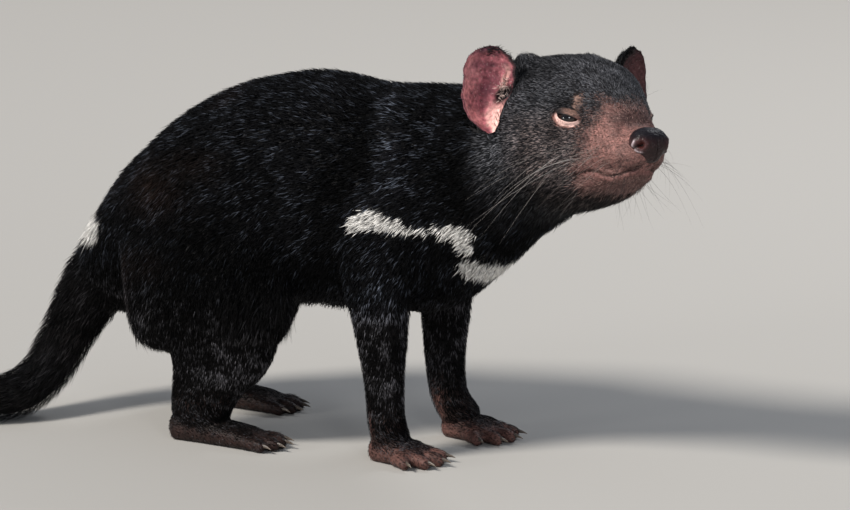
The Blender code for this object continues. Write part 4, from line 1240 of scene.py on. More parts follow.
markings = {
    # each white marking, on skin and coat alike, is a chain of round spots: centre and radius
    "shoulder band": [
        (-24, -68, 170, 4.5), (-14, -68, 174.5, 7.5), (-3, -67.5, 175.0, 8.0), (8, -66, 172.0, 5.6),
        (16, -63, 169.5, 3.8), (27, -58.5, 168.5, 3.8), (40, -56.5, 168.0, 6.0), (54, -54, 166.5, 9.0),
    ],
    "breast point": [(55, -54, 165, 10.0), (53, -46, 155, 6.0)],
    "chest patch": [(51, -35, 141, 8.0), (57, -16, 135, 10.5), (59, 6, 133, 10.5), (54, 24, 139, 8.0)],
    "left band": [
        (55, 46, 154, 6.0), (48, 53, 166, 8.0), (24, 60, 171, 5.0), (4, 67, 174, 8.0), (-10, 68, 174, 6.0),
    ],
    "rump patch": [(-250, -38, 138, 8.0), (-258, -14, 138, 13.5), (-259, 8, 138, 13.0), (-250, 30, 139, 9.0)],
}
fleshTones = {
    "hidden": (0.006, 0.0055, 0.0062),
    "headHidden": (0.022, 0.018, 0.019),
    "brown": (0.016, 0.010, 0.008),
    "white": (0.80, 0.78, 0.75),
    "mauve": (0.350, 0.165, 0.142),
    # shade: painted shade on the bare snout's lower half and below the mouth
    "shade": (0.110, 0.055, 0.050),
    "bridge": (0.060, 0.038, 0.037),
    "lip": (0.30, 0.135, 0.120),
    "chin": (0.110, 0.054, 0.048),
    "lid": (0.86, 0.56, 0.50),
    "overLid": (0.27, 0.130, 0.110),
    "brow": (0.25, 0.150, 0.120),
    "sole": (0.150, 0.070, 0.058),
    "cheek": (0.075, 0.050, 0.048),
    "upperLid": (0.30, 0.175, 0.140),
    "footTop": (0.050, 0.028, 0.024),
}
furTones = {
    "glints": 0.14,  # the share of tufts painted bright as glints, which are painted highlights
    "black": (0.0030, 0.0031, 0.0038),
    # painted highlights: glint and legGlint are the tones of the tufts painted bright as glints
    "glint": (0.036, 0.041, 0.052),
    "brown": (0.0100, 0.0062, 0.0050),
    "leg": (0.0040, 0.0037, 0.0040),
    "legGlint": (0.062, 0.060, 0.066),
    "head": (0.0085, 0.0090, 0.0108),
    # headPale: the pale grizzled tufts of the head, partly the hair's own colour and partly painted
    # highlights
    "headPale": (0.260, 0.262, 0.285),
    "cheek": (0.400, 0.312, 0.292),
    "snoutPale": (0.34, 0.22, 0.195),
    "snoutDark": (0.040, 0.026, 0.025),
    "white": (0.90, 0.88, 0.85),
}
darkerFur = {
    # in the head's frame: centre, reach each way, how much darker, and the side: 0 for both, 1 for the left
    # painted shadow of the brow over the eye
    "brow shadow over the eye": ((44, 34, 20), (10, 9, 5), 0.6, 0),
    "behind the eye": ((38, 40, -2), (8, 9, 7), 0.45, 0),
    "before the ear": ((-2, 48, 40), (11, 14, 16), 0.75, 0),
    "forehead": ((10, 36, 40), (12, 12, 12), 0.35, 0),
    "below the ear": ((-8, 58, -14), (11, 12, 9), -0.3, 0),  # paler there
    "jowl": ((-4, 52, -36), (22, 18, 13), 0.55, 0),
    # painted shade on the left temple, the side away from the sun
    "shaded left temple": ((24, 38, 36), (16, 18, 14), 0.55, 1),
}


def chainDistance(points, chain):
    # how far outside a chain of spots, each stretch a rounded cone; negative inside
    best = np.full(len(points), 1e9)
    for first, last in zip(chain, chain[1:]):
        start, finish = np.array(first[:3], float), np.array(last[:3], float)
        span = finish - start
        share = np.clip((points - start) @ span / (span @ span), 0.0, 1.0)
        away = np.linalg.norm(points - start - share[:, None] * span, axis=1)
        best = np.minimum(best, away - (first[3] + (last[3] - first[3]) * share))
    return best


def whiteShare(points, edge):
    # 1 in the white markings; the edge wavers a little
    away = np.min([chainDistance(points, chain) for chain in markings.values()], axis=0)
    away = away + 1.3 * noise(points, 5.0, 3) + 0.8 * noise(points, 2.0, 4)
    return ease(edge, -edge, away)


def snoutShare(points):
    # bare skin: ahead of a line that runs down from the bridge, and the haired bridge left out
    x, y, z = toHead(points).T
    front = 58.0 + 0.42 * np.clip(z, 0, None) + 0.16 * np.clip(-z - 8, 0, None) - 12.0 * ease(-14.0, -24.0, z)
    front = front + 9.0 * ease(16.0, 3.0, np.abs(y)) * ease(0.0, 14.0, z)
    return ease(-14.0, 9.0, x - front + 3.5 * noise(points, 9.0, 5) + 3.0 * noise(points, 3.0, 6))


def browPatch(points):
    # thin-haired skin ahead of and above the eye
    patch = 1.5 * hill(mirrored(toHead(points)), (50.5, 28.0, 21.5), (3.4, 4.5, 6.2))
    return np.clip(patch * (1 + 0.5 * noise(points, 3.0, 16)), 0, 1)


def footShare(points):
    # 1 on the bare toes, soles and heels, and up the back of the wrist, fading above
    x, y, z = points.T
    step = np.where(y > 0, stance["foreStep"]["left"], stance["foreStep"]["right"])
    wrist = ease(-12.0, -19.0, x - step) * (x > -60) * ease(46.0, 28.0, z + 4.0 * noise(points, 8.0, 27))
    low = ease(17.0, 7.0, z + 2.5 * noise(points, 6.0, 7))
    return np.maximum(low * ease(-240.0, -228.0, x), 0.85 * wrist)


def fleshColour(points):
    # the colour of skin at any place, also under the fur: dark, with the white markings, bare face and feet,
    # and painted shade low on the snout, along the mouth and over the hind feet
    x, _, z = toHead(points).T
    over, bare = z - mouthHeight(x), snoutShare(points)
    # dark blotches of the bare skin, and painted shade over the snout's lower half
    blotchesAndShade = 0.6 * ease(0.0, 0.9, noise(points, 2.6, 19)) + 0.7 * ease(-6.0, -24.0, z)
    lip = ease(44.0, 56.0, x) * bump(over, -2.2, 2.4)
    colour = layered(np.tile(fleshTones["hidden"], (len(points), 1)), fleshTones, (
        ("headHidden", ease(-20.0, 20.0, x)),
        ("cheek", ease(14.0, 50.0, x) * ease(14.0, -4.0, z) * ease(-50.0, -34.0, z)),
        ("white", 0.7 * whiteShare(points, 3.0)),
        ("chin", 0.85 * (ease(34.0, 48.0, x) * bump(over, -2.5, 9.0))),
        ("brow", browPatch(points)),
        ("mauve", bare * np.clip(0.80 + 0.3 * noise(points, 4.0, 9), 0, 1)),
        ("shade", bare * blotchesAndShade),
        ("bridge", bare * 0.95 * ease(62.0, 80.0, x) * ease(0.0, 10.0, z)),
        ("chin", 0.85 * bare * ease(-1.0, -4.0, over)),
        # painted shade below the mouth
        ("shade", 0.6 * bare * ease(-6.0, -12.0, over)),
        ("lip", lip * (0.5 + 0.3 * noise(points, 2.0, 28))),
        # painted shade along the groove between the lips
        ("hidden", bump(over, 0.0, 1.6) * 0.5 * ease(50.0, 60.0, x) * ease(98.0, 84.0, x)),
        ("footTop", ease(46.0, 24.0, points[:, 2]) * ease(-240.0, -228.0, points[:, 0]) * 0.8),
        ("sole", footShare(points) * np.clip(0.65 + 0.4 * noise(points, 3.0, 10), 0, 1)),
    ))
    # painted shade: the hind feet painted darker
    hindFootShade = ease(30.0, 12.0, points[:, 2]) * (points[:, 0] < -80)
    return colour * (1 - 0.82 * hindFootShade)[:, None]


def grizzled(luck, dark, pale):
    # blue-grey between two brightnesses, most of it near the dark one
    value = dark * (pale / dark) ** luck
    return value[:, None] * np.array([0.97, 0.99, 1.08])


def coatColour(points):
    # black with a few tufts painted bright as glints, which are painted highlights, all of it under painted
    # light and shade; grizzled on the head, its pale tufts partly painted highlights, with painted shade over
    # the eye and on the left temple; pale and dark hairs on the snout, and the white markings; where a tuft's
    # kind is a matter of luck, a number from 0 to 1 is drawn for it
    count = len(points)
    tone = {name: np.array(value) for name, value in furTones.items()}

    def draw(*columns):
        return dice.random((count, *columns))

    def every(name):
        return np.tile(tone[name], (count, 1))

    x, _, z = points.T
    local = mirrored(toHead(points))
    side = np.sign(toHead(points)[:, 1])
    hx, _, hz = local.T
    colour = every("black") * np.exp(0.4 * dice.normal(size=(count, 1)))
    hips = hill(mirrored(points), (-186, 62, 180), (26, 26, 18))
    brown = np.maximum(0.6 * ease(0.2, 0.8, noise(points, 38.0, 8)) * ease(-110.0, -160.0, x), hips)
    leg = ease(125.0, 90.0, z)
    colour = layered(colour, tone, (("brown", brown), ("leg", leg)))
    # painted highlights: some tufts painted bright as glints, in clusters, more on the legs and where the
    # painted light is brighter, fewer along the belly's lower edge and on the tail
    clusters = 1.0 + 1.7 * noise(points, 6.0, 17) + 1.1 * noise(points, 2.8, 18)
    shade = paintedCoatLight(points)
    bright = draw() < tone["glints"] * (1 + 0.5 * leg) * clusters * np.sqrt(shade)
    glint = blendTone(every("glint"), tone["legGlint"], leg) * (0.3 + 1.2 * draw(1))
    glint = blendTone(glint, tone["brown"] * 3.5, 0.6 * brown) * (1 - 0.6 * underside(points))[:, None]
    glint = glint * (1 - 0.65 * tailShare(points))[:, None]
    # painted light and shade: each tuft's colour, glints too, brightened or darkened by the shades' hills
    colour = np.where(bright[:, None], glint, colour) * shade[:, None]
    edge = hx + 6.0 * noise(points, 12.0, 24) + 12.0 * hill(local, (-16, 58, -16), (14, 16, 14))
    # grizzle: pale tufts among the dark ones on the head, partly the hair's own colour and partly painted
    # highlights
    luck = draw()
    pale = blendTone(every("headPale"), tone["cheek"], ease(24.0, 0.0, hz) * ease(-6.0, 26.0, hx))
    dim = 1.0 - 0.72 * ease(-28.0, -44.0, hz) - 0.40 * ease(26.0, 44.0, hz) * ease(50.0, 10.0, hx)
    dim = dim * (1 + 0.45 * noise(points, 8.0, 29))
    for at, reach, darker, only in darkerFur.values():
        dim = dim * (1 - darker * hill(local, at, reach) * (side * only >= 0))
    head = tone["head"] * (pale / tone["head"]) ** luck[:, None] * dim[:, None]
    colour = towards(colour, head, (ease(-40.0, -4.0, edge) * (hx > -60))[:, None])
    fine = np.where(draw(1) < 0.50, tone["snoutPale"], tone["snoutDark"])
    onSnout = draw() < snoutShare(points)
    colour = np.where(onSnout[:, None], fine * (0.6 + 0.6 * draw(1)), colour)
    isWhite = draw() < whiteShare(points, 1.8)
    return np.where(isWhite[:, None], tone["white"] * (0.62 + 0.45 * draw(1)), colour)


lie = {
    # height above the floor against how steeply the hair runs down from straight back, in degrees
    "heights": (90.0, 115.0, 140.0, 175.0, 215.0, 260.0),
    "slopes": (86.0, 76.0, 58.0, 34.0, 16.0, 8.0),
    "rumpFrom": (-120.0, -225.0),  # from the first x to the second, the rump's hair turns down
    "rumpTurns": 34.0,
    "onLeg": (-0.12, 0.0, -1.0),
    "onFoot": (0.92, 0.0, -0.35),
    "besideEar": (-0.15, 0.0, 1.0),  # in the head's frame
    "wander": 13.0,  # degrees that the lie wavers over the body
}


tailPath = smoothRows([row[:4] for row in tailTable.values()], 80)


def nearTail(points):
    # the nearest place on the tail's centre line: distance less the radius, its number and its heading
    if len(points) >= 60000:  # in parts, to save memory
        parts = [nearTail(part) for part in np.array_split(points, 1 + len(points) // 50000)]
        return tuple(np.concatenate(found) for found in zip(*parts))
    away = np.linalg.norm(points[:, None, :] - tailPath[None, :, :3], axis=2)
    number = np.argmin(away, axis=1)
    heading = unit(np.gradient(tailPath[:, :3], axis=0))[number]
    return away[np.arange(len(points)), number] - tailPath[number, 3], number, heading


def tailShare(points):
    # 1 on the tail, beyond its root
    away, number, _ = nearTail(points)
    return ease(7, 14, number) * ease(14.0, 4.0, away) * ease(-235.0, -255.0, points[:, 0])


def headShare(points):
    # 1 on the head, 0 behind the ears
    return ease(-46.0, -22.0, toHead(points)[:, 0])


def coatFlow(points, normals):
    # how the hair lies: back and down over the body, down the legs, forward on the feet, along the tail;
    # on the head from the nose back, spreading from the bridge, down the cheeks and up beside the ears
    x, y, z = points.T
    slope = np.interp(z, lie["heights"], lie["slopes"])
    slope = slope + lie["rumpTurns"] * ease(*lie["rumpFrom"], x) * ease(110.0, 170.0, z)
    slope = np.radians(np.clip(slope, 0.0, 88.0))
    flow = np.stack([-np.cos(slope), 0.05 * np.sign(y), -np.sin(slope)], axis=1)
    leg = ease(112.0, 84.0, z) * ease(-262.0, -250.0, x)
    flow = towards(flow, np.array(lie["onLeg"]), leg[:, None])
    foot = ease(34.0, 17.0, z) * ease(-240.0, -230.0, x)
    flow = towards(flow, np.array(lie["onFoot"]), foot[:, None])
    flow = towards(flow, nearTail(points)[2], tailShare(points)[:, None])
    hx, hy, hz = toHead(points).T
    sink = -0.10 - 0.30 * ease(5.0, -25.0, hz) * ease(52.0, 10.0, hx)
    spread = 0.25 * np.clip(hy / 30.0, -1, 1) * ease(0.0, 30.0, hz) * ease(70.0, 40.0, hx)
    headFlow = np.stack([-np.ones(len(points)), spread, sink], axis=1)
    headFlow = towards(headFlow, np.array(lie["besideEar"]), earOpening(points, 9.0)[:, None])
    onHead = headShare(points)
    flow = unit(towards(flow, headFlow @ headTurn.T, onHead[:, None]))
    across = unit(np.cross(normals, flow))
    waver = noise(points, 34.0, 12) + 0.8 * noise(points, 11.0, 13) + 0.4 * noise(points, 4.0, 30)
    turn = np.radians(lie["wander"]) * waver * (1 - 0.4 * onHead)
    return unit(alongSkin(flow + across * np.tan(turn)[:, None], normals))


coat = {
    "fill": 1.0,  # more or fewer tufts everywhere
    "cover": 3.7,  # how many tufts lie over each place
    "bare": (0.84, 0.88, 0.8, 0.97),  # the share missing on snout, feet and brows and by the ears
    "most": 33000,  # tufts in one piece
    # the tufts' length, width and rise at each height above the floor
    "length": ((0.0, 12.0, 25.0, 45.0, 80.0, 110.0, 140.0), (2.4, 3.0, 3.4, 3.9, 4.8, 6.4, 7.4)),
    "width": ((0.0, 12.0, 30.0, 60.0, 110.0, 150.0), (0.42, 0.46, 0.48, 0.53, 0.70, 0.78)),
    "rise": ((0.0, 12.0, 25.0, 45.0, 80.0, 110.0, 150.0), (0.5, 0.8, 1.3, 1.9, 2.6, 3.4, 4.0)),
    # the same on the head, at each place along it
    "headLength": ((-30.0, -5.0, 25.0, 48.0, 60.0, 80.0), (6.5, 4.2, 3.5, 3.0, 2.6, 1.8)),
    "headWidth": ((-30.0, 0.0, 30.0, 52.0, 62.0), (0.64, 0.46, 0.40, 0.34, 0.24)),
    "headRise": ((-45.0, -10.0, 25.0, 46.0, 60.0, 80.0), (3.6, 2.2, 1.5, 1.0, 0.6, 0.35)),
    "snoutWidth": 0.24,
    "tail": (12.0, 5.0),  # length and rise on the tail
    "thickest": 0.42,  # share of a tuft's length where it is widest
    "flat": 0.5,  # thickness of a tuft against its width
    "pull": {"body": 0.14, "head": 0.05},  # how far tufts lean together into locks
    "locks": {"body": 6.0, "head": 3.0},  # how far apart the locks are
    "guard": (0.06, 1.35, 1.3),  # share of longer hairs, and how much longer and higher they are
    "sunk": 0.5,  # how far its root lies under the skin
    "shades": (0.5, 0.95, 1.0, 0.95, 1.25),  # brightness at the root, round the thickest place and at the tip
    "patch": 0.003,  # a tuft's size on the map
}


def rumpFringe(points):
    # 1 where the rump's hair hangs over the tail's root
    return hill(points, (-256, 0, 134), (20, 60, 18))


def coatLength(points):
    # body, shorter on the head, legs and feet, longer under the throat, belly and rump
    x, _, z = points.T
    hx, _, hz = toHead(points).T
    length = np.interp(z, *coat["length"]) + 7.0 * underside(points)
    length = length + 6.0 * bump(z, 70.0, 36.0) * bump(x, -205.0, 36.0) + 5.0 * rumpFringe(points)
    length = np.where(tailShare(points) > 0.5, coat["tail"][0], length)
    head = np.interp(hx, *coat["headLength"]) + 4.0 * ease(-28.0, -40.0, hz) * ease(85.0, 55.0, hx)
    return towards(length, head * (1 - 0.3 * earOpening(points, 4.0)), headShare(points))


def underside(points):
    # 1 along the belly's lower edge
    x, _, z = points.T
    return ease(128.0, 108.0, z) * ease(80.0, 94.0, z) * ease(-132.0, -112.0, x) * ease(-48.0, -58.0, x)


def coatWidth(points):
    # finer on the head, finest on the snout
    head = np.interp(toHead(points)[:, 0], *coat["headWidth"])
    head = np.where(snoutShare(points) > 0.5, np.minimum(head, coat["snoutWidth"]), head)
    return towards(np.interp(points[:, 2], *coat["width"]), head, headShare(points))


def coatRise(points):
    # how high the tips stand over the skin: the depth of the coat, and a looser fringe along its edges
    x, _, z = points.T
    hx, _, hz = toHead(points).T
    rise = np.interp(z, *coat["rise"]) + 6.0 * underside(points)
    rise = rise + 3.0 * bump(z, 70.0, 40.0) * bump(x, -208.0, 36.0) + 3.0 * rumpFringe(points)
    rise = np.where(tailShare(points) > 0.5, coat["tail"][1], rise)
    head = np.interp(hx, *coat["headRise"]) + 0.6 * ease(40.0, 52.0, hz) + 2.0 * ease(-34.0, -44.0, hz)
    return towards(rise, head * (1 - 0.3 * earOpening(points, 4.0)), headShare(points))


def coatDensity(points):
    # tufts to a square millimetre: more where they are short and thin, few on bare skin
    area = coatLength(points) * coatWidth(points)
    places = (snoutShare(points), footShare(points), browPatch(points), earOpening(points))
    bare = np.max([missing * share for missing, share in zip(coat["bare"], places)], axis=0)
    low = ease(85.0, 50.0, points[:, 2]) + 0.6 * ease(24.0, 12.0, points[:, 2])
    cover = coat["cover"] - 0.35 * headShare(points) - 0.9 * low
    return cover * (1 - bare) / area


def surfaceOf(made):
    # points, normals and triangles of a mesh as arrays
    mesh = made.data
    mesh.calc_loop_triangles()
    corners = np.empty(len(mesh.loop_triangles) * 3, np.int32)
    mesh.loop_triangles.foreach_get("vertices", corners)
    normals = np.empty(len(mesh.vertices) * 3, np.float32)
    mesh.vertices.foreach_get("normal", normals)
    return pointsOf(made), normals.reshape(-1, 3).astype(float), corners.reshape(-1, 3)


def scatter(made, density, fill):
    # roots spread over a surface by the tufts per square millimetre at each of its points; the function that
    # comes with them reads any value of the surface at the roots
    points, normals, corners = surfaceOf(made)
    a, b, c = (points[corners[:, k]] for k in range(3))
    areas = np.linalg.norm(np.cross(b - a, c - a), axis=1) / 2
    order = np.lexsort(np.round((a + b + c) / 12.0).T)
    total = np.cumsum((areas * density[corners].mean(axis=1))[order]) * fill
    count = int(total[-1])
    at = (np.arange(count) + dice.random(count)) / count * total[-1]
    chosen = corners[order[np.searchsorted(total, at).clip(0, len(total) - 1)]]
    u, v = dice.random((count, 1)), dice.random((count, 1))
    over = u + v > 1
    u, v = np.where(over, 1 - u, u), np.where(over, 1 - v, v)

    def read(values):
        return (1 - u - v) * values[chosen[:, 0]] + u * values[chosen[:, 1]] + v * values[chosen[:, 2]]

    return read(points), unit(read(normals)), read


def unwrapPlaces(points, zone):
    # a map of the skin's own shape: along the part's axis, and the angle round it
    if zone in ("head", "face"):
        along, aside, ahead = mirrored(toHead(points)).T
        ahead = ahead + 8.0
    elif zone == "tail":
        _, number, heading = nearTail(points)
        spoke = points - tailPath[number, :3]
        side = unit(np.cross(heading, np.array([0.0, 0.0, 1.0])))
        along, aside = number.astype(float), np.sum(spoke * side, axis=1)
        ahead = np.sum(spoke * np.cross(side, heading), axis=1)
    elif zone in ("foreleg", "hindleg", "feet"):
        along, aside = points[:, 2], points[:, 1] - np.sign(points[:, 1]) * 47.0
        ahead = points[:, 0] - np.where(points[:, 0] > -60.0, 0.0, -150.0)
    else:
        along, aside, ahead = mirrored(points).T
        ahead = ahead - 178.0
    places = np.stack([along, np.arctan2(aside, ahead)], axis=1)
    low, high = places.min(axis=0), places.max(axis=0)
    return 0.01 + 0.98 * (places - low) / (high - low)


def zonesOf(points):
    # which piece of the coat each root belongs to: the first whose test it meets
    x, _, z = points.T
    tests = {
        "tail": tailShare(points) > 0.5,
        "face": toHead(points)[:, 0] > 22.0,
        "head": headShare(points) > 0.5,
        "feet": z < 24.0,
        "foreleg": (z < 118.0) & (x > -70.0),
        "hindleg": (z < 112.0) & (x <= -70.0),
        "neck": x > 15.0,
        "ribs": x > -65.0,
        "loin": x > -150.0,
        "rump": np.full(len(x), True),
    }
    first = np.argmax(list(tests.values()), axis=0)
    return {name: first == number for number, name in enumerate(tests)}


def tuftMesh(name, roots, normals, flow, colour, places, size, kind):
    # each tuft is a closed needle of six faces: a root, a triangle where it is thickest and a tip bent to the
    # skin; size is the tufts' length, width and rise, and places are where they lie on the map
    count = len(roots)
    length, width, rise = size
    many, longer, higher = coat["guard"]
    guard = dice.random(count) < many
    length, rise = np.where(guard, length * longer, length), np.where(guard, rise * higher, rise)
    side = np.cross(normals, flow)
    lean = alongSkin(lockCentres(roots, coat["locks"][kind], 21) - roots, normals)
    lean = lean * coat["pull"][kind] * (0.5 + dice.random((count, 1)))
    sway = side * (dice.normal(0.0, 0.15, count) * length)[:, None]
    share = coat["thickest"]
    lift = rise * (0.4 + 0.7 * dice.random(count))
    middle = roots + flow * (length * share)[:, None] + normals * (lift * 0.66)[:, None]
    middle = middle + (lean + sway) * share**1.5
    tip = roots + flow * length[:, None] + normals * lift[:, None] + lean + sway
    along = unit(tip - roots)
    side = unit(np.cross(normals, along))
    top = np.cross(along, side)
    wide, thick = side * (width / 2)[:, None], top * (width / 2 * coat["flat"])[:, None]
    ring = [middle + wide - thick * 0.4, middle + thick, middle - wide - thick * 0.4]
    points = np.stack([roots - normals * coat["sunk"], *ring, tip], axis=1).reshape(-1, 3)
    points[:, 2] = np.maximum(points[:, 2], 0.3)
    pattern = np.array([[0, 2, 1], [0, 3, 2], [0, 1, 3], [4, 1, 2], [4, 2, 3], [4, 3, 1]])
    faces = (pattern[None] + 5 * np.arange(count)[:, None, None]).reshape(-1, 3)
    made = meshObject(name, points, [faces])
    paint(made, (colour[:, None, :] * np.array(coat["shades"])[None, :, None]).reshape(-1, 3))
    spot = np.array([[0.0, 0.0], [-0.3, 0.3], [0.0, 0.4], [0.3, 0.3], [0.0, 1.0]]) * coat["patch"]
    places = places[:, None, :] + spot[None] - np.array([0.0, coat["patch"] / 2])
    layer = made.data.uv_layers.new(name="OFBake")
    layer.uv.foreach_set("vector", places.reshape(-1, 2)[faces.ravel()].astype(np.float32).ravel())
    return made


def makeCoat(surfaces):
    # surfaces are pieces of skin, each with the share of its coat that shows; a tuft takes its colour from a
    # place partway along it
    found = [scatter(made, coatDensity(pointsOf(made)) * shown, coat["fill"])[:2] for made, shown in surfaces]
    allRoots, allNormals = (np.concatenate(parts) for parts in zip(*found))
    pieces = []
    for zone, isHere in zonesOf(allRoots).items():
        onLeft = toHead(allRoots)[:, 1] >= 0 if zone in ("head", "face") else allRoots[:, 1] >= 0
        kind = "head" if zone in ("head", "face", "feet") else "body"
        for word, side in (("right", ~onLeft), ("left", onLeft)):
            chosen = np.nonzero(isHere & side)[0]
            if len(chosen) == 0:
                continue
            for turn, part in enumerate(np.array_split(chosen, 1 + len(chosen) // coat["most"])):
                roots, normals = allRoots[part], allNormals[part]
                flow = coatFlow(roots, normals)
                length = coatLength(roots) * (0.75 + 0.5 * dice.random(len(roots)))
                size = (length, coatWidth(roots), coatRise(roots))
                partway = roots + flow * (0.4 * length)[:, None] + normals * (0.5 * size[2])[:, None]
                name = f"coat_{zone}_{word}" + ("" if turn == 0 else f"_{turn + 1}")
                colour, places = coatColour(partway), unwrapPlaces(roots, zone)
                pieces.append(tuftMesh(name, roots, normals, flow, colour, places, size, kind))
        print("coat on", zone + ":", np.sum(isHere), "tufts")
    return pieces


whiskers = {
    # in the head's frame, on each side of the face: the roots' middle and spread, how many and how long; then
    # their heading, bend and tone
    "cheek": (
        ((49, 33, -12), (9, 4, 8), 10, (40, 84)),
        ((-0.75, 0.60, -0.30), (-0.25, -0.15, -0.30), (0.42, 0.39, 0.37)),
    ),
    "muzzle": (
        ((68, 21, -14), (8, 3, 6), 14, (20, 42)),
        ((-0.30, 0.85, -0.20), (-0.45, -0.10, -0.30), (0.26, 0.22, 0.20)),
    ),
    "lip": (
        ((84, 15, -19), (5, 3, 3), 7, (16, 38)),
        ((0.35, 0.75, -0.45), (-0.10, 0.0, -0.45), (0.02, 0.016, 0.017)),
    ),
    "chin": (
        ((74, 9, -33), (8, 5, 2), 8, (14, 30)),
        ((0.35, 0.35, -0.85), (0.25, 0.0, -0.10), (0.02, 0.016, 0.017)),
    ),
    "jaw": (
        ((34, 26, -44), (12, 6, 3), 6, (14, 26)),
        ((-0.25, 0.45, -0.85), (-0.30, 0.0, -0.10), (0.10, 0.085, 0.08)),
    ),
    "brow": (
        ((50, 27, 25), (3, 3, 2), 5, (14, 26)),
        ((0.25, 0.50, 0.85), (-0.55, 0.10, -0.15), (0.03, 0.025, 0.027)),
    ),
}


def makeWhiskers(made):
    # thin rods that taper along a parabola: a root, a heading and a bend that grows with the way's square
    skinPoints = toHead(pointsOf(made))
    found = []
    for (at, spread, count, length), (heading, bend, tone) in whiskers.values():
        for sign in (-1, 1):
            flip = np.array([1, sign, 1])
            want = (np.array(at) + dice.uniform(-1, 1, (count, 3)) * np.array(spread)) * flip
            near = np.argmin(np.linalg.norm(skinPoints[None] - want[:, None], axis=2), axis=1)
            found.append((
                skinPoints[near],
                unit(np.array(heading) * flip + 0.22 * dice.normal(size=(count, 3))),
                np.array(bend) * flip + 0.12 * dice.normal(size=(count, 3)),
                dice.uniform(*length, count),
                np.array(tone) * dice.uniform(0.6, 1.4, (count, 1)),
            ))
    roots, heads, bends, sizes, tones = (np.concatenate(part) for part in zip(*found))
    rings, sides = 14, 5
    share = np.linspace(0.0, 1.0, rings)[None, :, None]
    long = sizes[:, None, None]
    line = roots[:, None] + long * (share * heads[:, None] + share**2 * bends[:, None]) - heads[:, None]
    along = unit(heads[:, None] + 2 * share * bends[:, None])
    side = unit(np.cross(along, np.array([0.1, 0.2, 1.0])))
    top = np.cross(along, side)
    turn = circle(sides)[:, None]
    radius = (0.06 + 0.0008 * long) * (1 - 0.88 * share)
    spokes = side[:, :, None] * np.cos(turn) + top[:, :, None] * np.sin(turn)
    ring = line[:, :, None] + radius[..., None] * spokes
    points = np.concatenate([ring.reshape(len(roots), -1, 3), line[:, :1], line[:, -1:]], axis=1)
    quads, fans = gridFaces(rings, sides)
    each = points.shape[1]
    first = each * np.arange(len(roots))[:, None, None]
    faceSets = [(quads + first).reshape(-1, 4), (fans + first).reshape(-1, 3)]
    points = fromHead(points.reshape(-1, 3))
    piece = meshObject("whiskers", points, outward(points, faceSets))
    paint(piece, np.repeat(tones, each, axis=0))
    return piece


view = {
    "azimuth": 28.0,  # degrees ahead of the animal's right side
    "height": 12.0,  # degrees above the level
    "distance": 5.0,  # metres
    "target": (-10.4, 15.1, 135.0),  # in the tables' frame
    "width": 0.595,  # metres across the picture at the target
    "sensor": 36.0,
}
studio = {
    "aim": (0.05, 0.0, 0.15),  # the place in metres that every light points at
    "floorSize": 28.0,
    "floor": (0.50, 0.485, 0.46),
    "sky": (0.80, 0.87, 1.0),
    "skyStrength": 0.30,
    "sun": {"from": (-0.75, -1.5, 1.8), "size": 14.0, "power": 3.1, "colour": (1.0, 0.955, 0.89)},
    "fill": {"at": (1.7, -1.7, 0.8), "size": 0.60, "power": 9.5, "colour": (0.92, 0.96, 1.0)},
    "rim": {"at": (0.3, 1.6, 1.6), "size": 0.55, "power": 9.0, "colour": (0.95, 0.97, 1.0)},
    "spark": {"at": (-1.25, -1.75, 0.40), "size": 0.52, "power": 9.5, "colour": (1.0, 0.98, 0.95)},
}


def viewAxes():
    # the picture's right, its up and the way back to the camera
    azimuth, height = math.radians(view["azimuth"]), math.radians(view["height"])
    level = math.cos(height)
    back = Vector((math.sin(azimuth) * level, -math.cos(azimuth) * level, math.sin(height)))
    right = Vector((math.cos(azimuth), math.sin(azimuth), 0.0))
    return right, back.cross(right), back


def makeCamera():
    # looks at the target with a lens that shows the set width there
    right, up, back = viewAxes()
    target = Vector((np.array(view["target"]) + shift) * mm)
    data = bpy.data.cameras.new("camera")
    data.sensor_width = view["sensor"]
    data.lens = view["sensor"] * view["distance"] / view["width"]
    data.clip_end = 50.0
    made = sceneObject("camera", data)
    turn = Matrix((right, up, back)).transposed().to_4x4()
    made.matrix_world = Matrix.Translation(target + back * view["distance"]) @ turn
    bpy.context.scene.camera = made


def makeLight(name, setting):
    # a sun where the setting says which way it shines from, and otherwise a round soft lamp
    isSun = "from" in setting
    data = bpy.data.lights.new(name, "SUN" if isSun else "AREA")
    data.energy = setting["power"]
    data.color = setting["colour"]
    if isSun:
        data.angle = math.radians(setting["size"])
    else:
        data.shape = "DISK"
        data.size = setting["size"]
    made = sceneObject(name, data)
    made.location = Vector(setting["from" if isSun else "at"])
    made.rotation_euler = (Vector(studio["aim"]) - made.location).to_track_quat("-Z", "Y").to_euler()


def makeStage():
    # a plain pale floor under a soft sky and four lights
    world = bpy.data.worlds.new("studio")
    bpy.context.scene.world = world
    world.use_nodes = True
    sky = world.node_tree.nodes["Background"]
    sky.inputs["Color"].default_value = (*studio["sky"], 1.0)
    sky.inputs["Strength"].default_value = studio["skyStrength"]
    for name in ("sun", "fill", "rim", "spark"):
        makeLight(name, studio[name])
    half = studio["floorSize"] / 2
    corners = [(-half, -half, 0), (half, -half, 0), (half, half, 0), (-half, half, 0)]
    floor = bpy.data.meshes.new("floor")
    floor.from_pydata(corners, [], [(0, 1, 2, 3)])
    made = sceneObject("floor", floor)
    look = bpy.data.materials.new("pale floor")
    look.use_nodes = True
    shader = look.node_tree.nodes["Principled BSDF"]
    shader.inputs["Base Color"].default_value = (*studio["floor"], 1.0)
    shader.inputs["Roughness"].default_value = 0.9
    shader.inputs["Specular IOR Level"].default_value = 0.1
    floor.materials.append(look)
    bpy.context.scene.view_settings.view_transform = "Standard"


